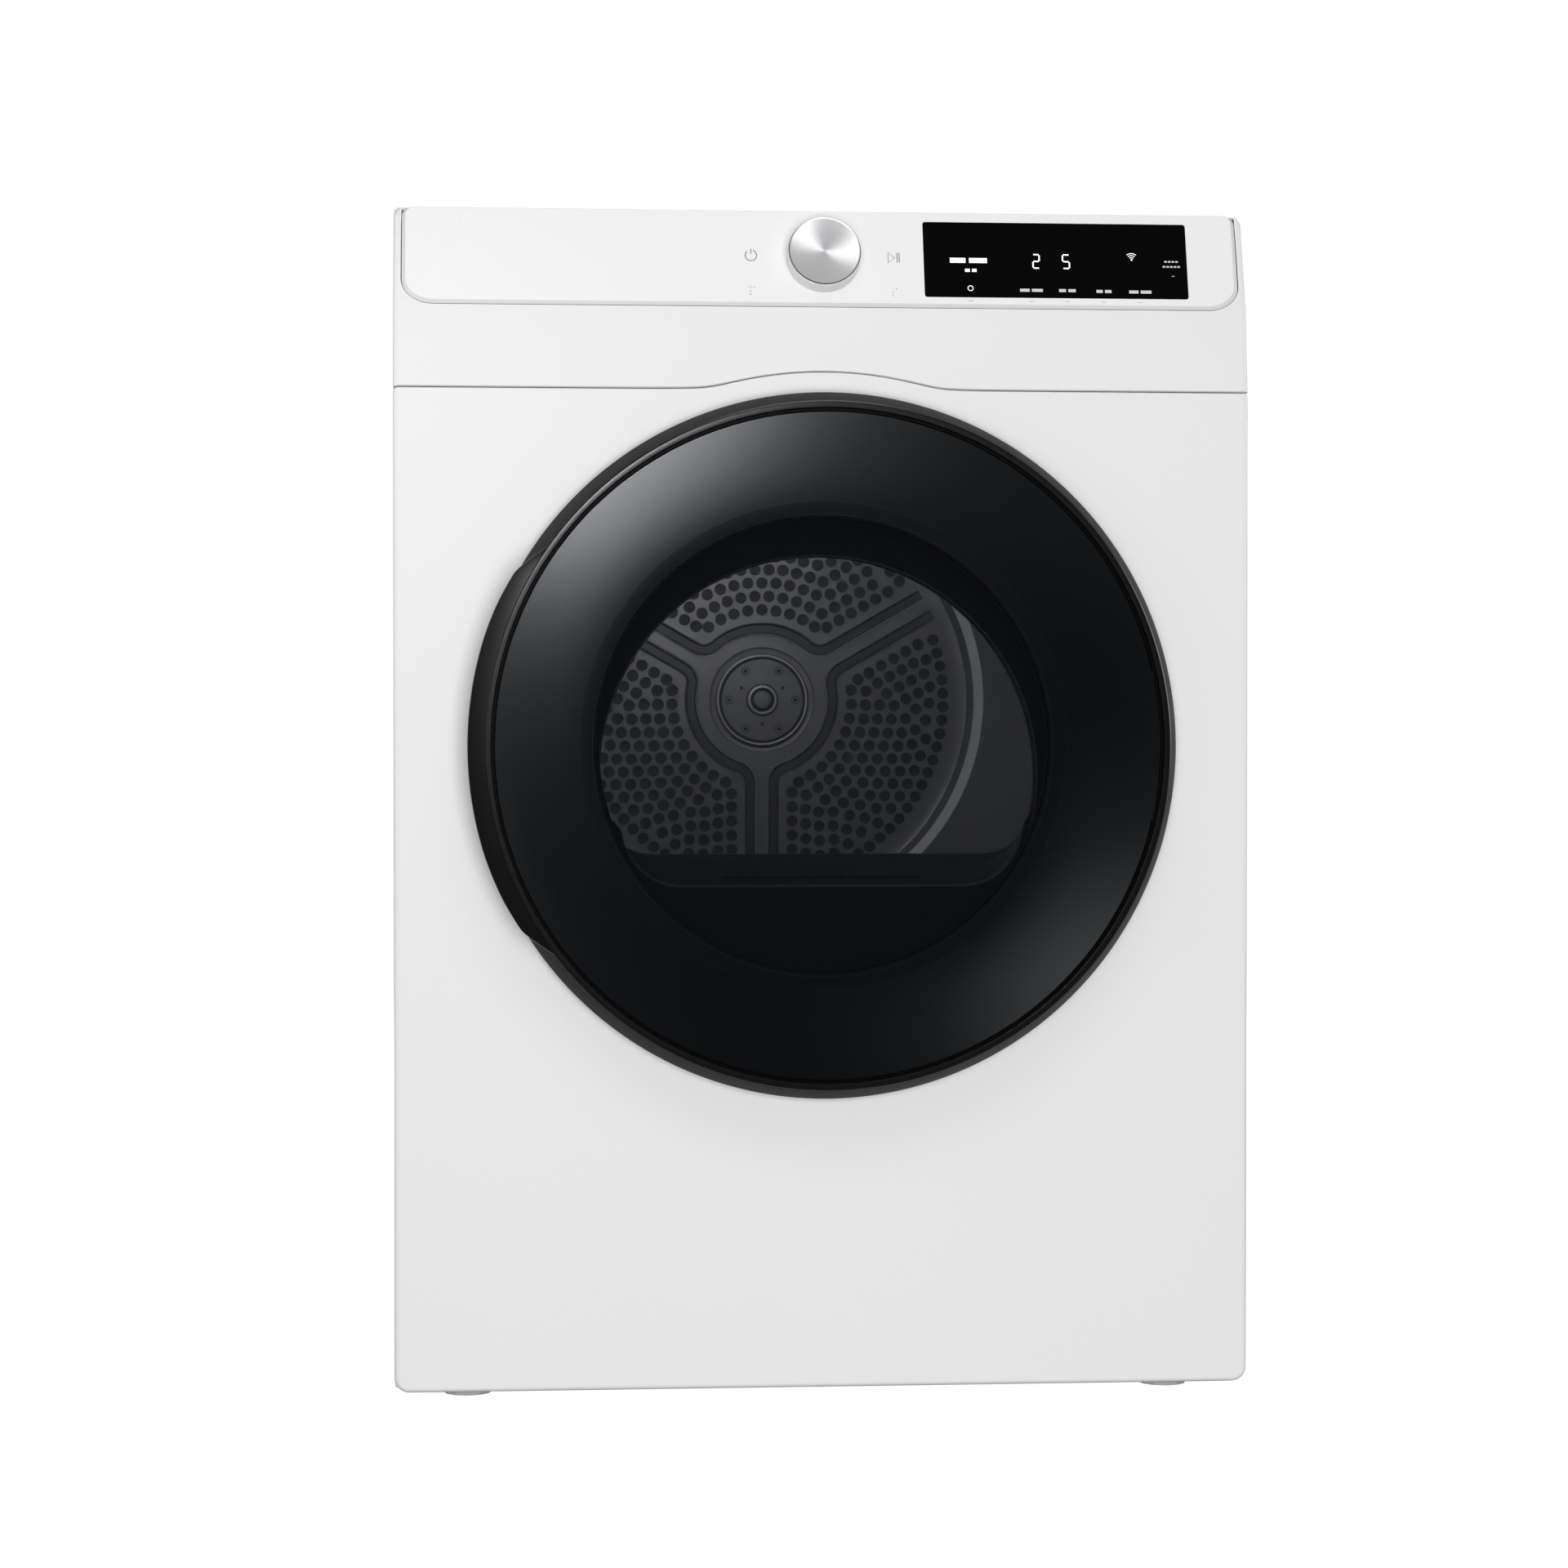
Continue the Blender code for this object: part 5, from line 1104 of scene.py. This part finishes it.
def build_lint_duct():
    """The duct behind the apron, its mouth open along the ledge."""
    half, wall = 0.1119, 0.0018
    low, high = 0.270, 0.4115
    lower = arc((0.085, 0.125), 0.075, 216, 370, 28)
    loop = [(-half, high), (-half, low)] + lower + [(half + 0.010, 0.250), (half, 0.280), (half, high)]
    hole = circle((0.085, 0.125), 0.055, 40)
    shape = Shape()
    shape.fill([loop], lambda a, b: front(a, b, -0.0176))
    shape.fill([loop, hole], lambda a, b: front(a, b, -0.0480))
    shape.fill([loop], lambda a, b: front(a, b, -0.0176 - wall))
    shape.fill([loop, hole], lambda a, b: front(a, b, -0.0480 + wall))
    shape.loft([[front(a, b, -n) for a, b in loop] for n in (0.0176, 0.0480)], closed=False)
    shape.loft([[front(a, b, -n) for a, b in hole] for n in (0.0462, 0.0480)])
    for a0, a1, b0, b1 in ((-half, half, 0.0176, 0.0194), (-half, half, 0.0462, 0.0480),
                           (-half, -half + wall, 0.0176, 0.0480), (half - wall, half, 0.0176, 0.0480)):
        shape.face(shape.add([front(a0, high, -b0), front(a1, high, -b0), front(a1, high, -b1),
                              front(a0, high, -b1)]))
    shape.make("lint_duct_shell", [DARK_MOULDED], "cabinet", "dark_plastic", ["lint_duct"], sharp=40)


for build in (build_front_panel, build_trim, build_fascia, build_marks, build_knob, build_door,
              build_drum_wall, build_hub, build_drum_shell, build_mouth, build_lint_filter,
              build_lint_duct):
    build()

# ---- CAD pieces that keep their shape
NODE_LOOKS = {
    ENAMEL: ("side_panel_left", "side_panel_right", "top_cover"),
    ZINC: ("rear_panel", "rear_duct_cover", "base_pan", "rear_shroud", "bearing_carrier", "motor_body",
           "motor_saddle", "idler_arm", "exhaust_pipe", "heater_case", "hinge_bracket", "hinge_leaf"),
    BARE_METAL: ("motor_shaft", "hinge_pin", "moisture_sensor"),
    DARK_MOULDED: ("idler_pulley", "blower_wheel", "lint_duct", "lint_filter_frame", "latch_box",
                   "terminal_block"),
    FOOT_PALE: ("foot_front_left", "foot_front_right", "foot_rear_left", "foot_rear_right"),
    GREY_MOULDED: ("control_case", "knob_encoder", "drum_bearing", "blower_housing", "lint_filter_screen",
                   "switch_body"),
    MOULDED_WHITE: ("switch_plunger",),
    LAMP_LENS: ("drum_lamp",),
    RUBBER: ("drive_belt",),
    FELT: ("drum_front_seal", "drum_rear_seal"),
    BOARD: ("display_board",),
    WIRE: ("heater_coil",),
}
for look, names in NODE_LOOKS.items():
    for name in names:
        node = nodes[name]
        node.data.materials.clear()
        node.data.materials.append(look)


def smooth_by_angle(limit):
    """A node group that shades faces smooth and keeps edges sharper than the limit crisp."""
    group = bpy.data.node_groups.new("smooth_by_angle", "GeometryNodeTree")
    group.interface.new_socket("Geometry", in_out="INPUT", socket_type="NodeSocketGeometry")
    group.interface.new_socket("Geometry", in_out="OUTPUT", socket_type="NodeSocketGeometry")
    make = group.nodes.new
    start, finish = make("NodeGroupInput"), make("NodeGroupOutput")
    angle, compare = make("GeometryNodeInputMeshEdgeAngle"), make("FunctionNodeCompare")
    faces, edges = make("GeometryNodeSetShadeSmooth"), make("GeometryNodeSetShadeSmooth")
    faces.domain, edges.domain = "FACE", "EDGE"
    compare.data_type, compare.operation = "FLOAT", "GREATER_THAN"
    compare.inputs[1].default_value = limit
    edges.inputs["Shade Smooth"].default_value = False
    link = group.links.new
    link(angle.outputs["Unsigned Angle"], compare.inputs[0])
    link(start.outputs[0], faces.inputs["Geometry"])
    link(faces.outputs["Geometry"], edges.inputs["Geometry"])
    link(compare.outputs[0], edges.inputs["Selection"])
    link(edges.outputs["Geometry"], finish.inputs[0])
    return group


for name in ("side_panel_left", "side_panel_right", "top_cover", "rear_panel"):
    fold = nodes[name].modifiers.new("folded_edge", "BEVEL")
    fold.width = 0.0014
    fold.segments = 3
    fold.limit_method = "ANGLE"
    fold.angle_limit = radians(40)
crisp = smooth_by_angle(radians(34))
for names in NODE_LOOKS.values():
    for name in names:
        nodes[name].modifiers.new("shading", "NODES").node_group = crisp


# ---- studio
def area_light(name, place, aim, size, power, glossy=True, colour=(1.0, 1.0, 1.0), diffuse=1.0):
    data = bpy.data.lights.new(name, "AREA")
    data.shape = "RECTANGLE"
    data.size, data.size_y = size
    data.energy = power
    data.color = colour
    data.diffuse_factor = diffuse
    lamp = bpy.data.objects.new(name, data)
    bpy.context.scene.collection.objects.link(lamp)
    lamp.location = place
    lamp.rotation_euler = (Vector(aim) - Vector(place)).to_track_quat("-Z", "Y").to_euler()
    lamp.visible_camera = False
    lamp.visible_glossy = glossy
    return lamp


EYE = Vector((-0.2822, -3.335, 0.5315))


def glint(name, receiver, point, normal, size, power, distance, colour=(1.0, 1.0, 1.0)):
    """A softbox for one piece only, placed where the camera sees it mirrored at a point of that piece."""
    point, normal = Vector(point), Vector(normal).normalized()
    view = (point - EYE).normalized()
    away = view - 2 * view.dot(normal) * normal
    across = away.cross(normal)
    across = across.normalized() if across.length > 0.05 else Vector((1.0, 0.0, 0.0))
    across = (across - across.dot(away) * away).normalized()
    lamp = area_light(name, point + away * distance, point, size, power, colour=colour)
    lamp.matrix_world = Matrix.Translation(point + away * distance) @ Matrix(
        (across, away.cross(across), away)).transposed().to_4x4()
    lit_only = bpy.data.collections.new(name + "_receivers")
    lit_only.objects.link(bpy.data.objects[receiver])
    lamp.light_linking.receiver_collection = lit_only
    lamp.data.diffuse_factor = 0.0


def dish_glint(name, angle, slope, size, power, distance):
    turn, lean = radians(angle), radians(slope)
    point = (0.259 * cos(turn), FACE_Y - 0.040, DOOR_Z + 0.259 * sin(turn))
    normal = (-sin(lean) * cos(turn), -cos(lean), -sin(lean) * sin(turn))
    glint(name, "door_dish_skin", point, normal, size, power, distance, (0.93, 0.96, 1.0))


def knob_glint(name, angle, tilt, size, power, distance):
    turn, lean = radians(angle), radians(tilt)
    local = Vector((sin(lean) * cos(turn), sin(lean) * sin(turn), cos(lean)))
    normal = knob_frame().to_3x3() @ local
    glint(name, "knob_disc", fascia(0, KNOB_UP, 0.019), normal, size, power, distance)


def build_studio():
    world = bpy.data.worlds.new("studio")
    bpy.context.scene.world = world
    world.use_nodes = True
    tree = world.node_tree
    tree.nodes.clear()
    output = tree.nodes.new("ShaderNodeOutputWorld")
    path = tree.nodes.new("ShaderNodeLightPath")
    seen, fill, shine = [tree.nodes.new("ShaderNodeBackground") for _ in range(3)]
    seen.inputs["Color"].default_value = (1.0, 1.0, 1.0, 1.0)
    seen.inputs["Strength"].default_value = 1.0
    fill.inputs["Color"].default_value = (0.98, 0.99, 1.0, 1.0)
    fill.inputs["Strength"].default_value = 0.12
    shine.inputs["Color"].default_value = (0.9, 0.95, 1.0, 1.0)
    shine.inputs["Strength"].default_value = 0.05
    first, second = tree.nodes.new("ShaderNodeMixShader"), tree.nodes.new("ShaderNodeMixShader")
    tree.links.new(path.outputs["Is Glossy Ray"], first.inputs["Fac"])
    tree.links.new(fill.outputs["Background"], first.inputs[1])
    tree.links.new(shine.outputs["Background"], first.inputs[2])
    tree.links.new(path.outputs["Is Camera Ray"], second.inputs["Fac"])
    tree.links.new(first.outputs["Shader"], second.inputs[1])
    tree.links.new(seen.outputs["Background"], second.inputs[2])
    tree.links.new(second.outputs["Shader"], output.inputs["Surface"])

    ground = Shape()
    reach = 12.0
    corners = ground.add([(-reach, -reach, 0), (reach, -reach, 0), (reach, reach, 0), (-reach, reach, 0)])
    ground.face(corners)
    mesh = bpy.data.meshes.new("floor")
    mesh.from_pydata(ground.points, [], ground.faces)
    floor_look = lit("floor_white", (1.0, 1.0, 1.0), 1.0)
    mesh.materials.append(floor_look)
    floor = bpy.data.objects.new("floor", mesh)
    bpy.context.scene.collection.objects.link(floor)
    floor.visible_glossy = False
    floor.visible_diffuse = False
    floor.visible_shadow = False

    area_light("front_fill", (-0.10, -4.6, 0.40), (0, -0.3, 0.5), (2.4, 2.4), 151, glossy=False)
    area_light("top_fill", (0.1, -2.6, 3.2), (0, -0.3, 0.6), (2.2, 1.2), 12, glossy=False)
    area_light("corner_key", (-0.46, FACE_Y - 0.42, 0.87), (-0.30, FACE_Y, 0.84), (0.24, 0.24), 0.27,
               glossy=False)
    area_light("rear_fill", (0.9, 3.2, 1.9), (0, 0.3, 0.5), (2.4, 2.0), 60)
    area_light("left_fill", (-3.2, 0.35, 1.2), (-0.34, 0.1, 0.5), (1.8, 1.8), 30)
    area_light("right_fill", (3.2, 0.35, 1.2), (0.34, 0.1, 0.5), (1.8, 1.8), 30)
    area_light("roof_fill", (0.0, 0.4, 3.4), (0, 0.1, 0.9), (1.6, 1.6), 22)
    area_light("drum_light", (-0.07, FACE_Y + 0.17, DRUM_Z + 0.20), (0.06, FACE_Y + 0.62, DRUM_Z + 0.06),
               (0.10, 0.10), 1.6)
    dish_glint("dish_glint_upper", 124, 43.0, (0.44, 0.10), 7.4, 0.9)
    dish_glint("dish_glint_lower", -41, 41.5, (0.36, 0.14), 0.74, 0.9)
    rim_at = (0.268 * cos(radians(131)), FACE_Y - 0.0459, DOOR_Z + 0.268 * sin(radians(131)))
    glint("rim_glint", "door_rim_skin", rim_at, (0, -1, 0), (0.12, 0.12), 1.8, 0.5)
    knob_glint("knob_glint_wide", 60, 3, (1.0, 1.0), 1.7, 0.8)
    knob_glint("knob_glint_side", 69, 13, (0.26, 0.26), 1.35, 0.8)

    camera_data = bpy.data.cameras.new("camera")
    camera_data.lens = 86.06
    camera_data.sensor_width = 36.0
    camera_data.clip_end = 60.0
    camera = bpy.data.objects.new("camera", camera_data)
    bpy.context.scene.collection.objects.link(camera)
    camera.location = EYE
    camera.rotation_euler = (radians(90 - 0.727), 0.0, radians(-4.780))
    bpy.context.scene.camera = camera
    bpy.context.scene.view_settings.view_transform = "Standard"


build_studio()

bpy.context.view_layer.update()
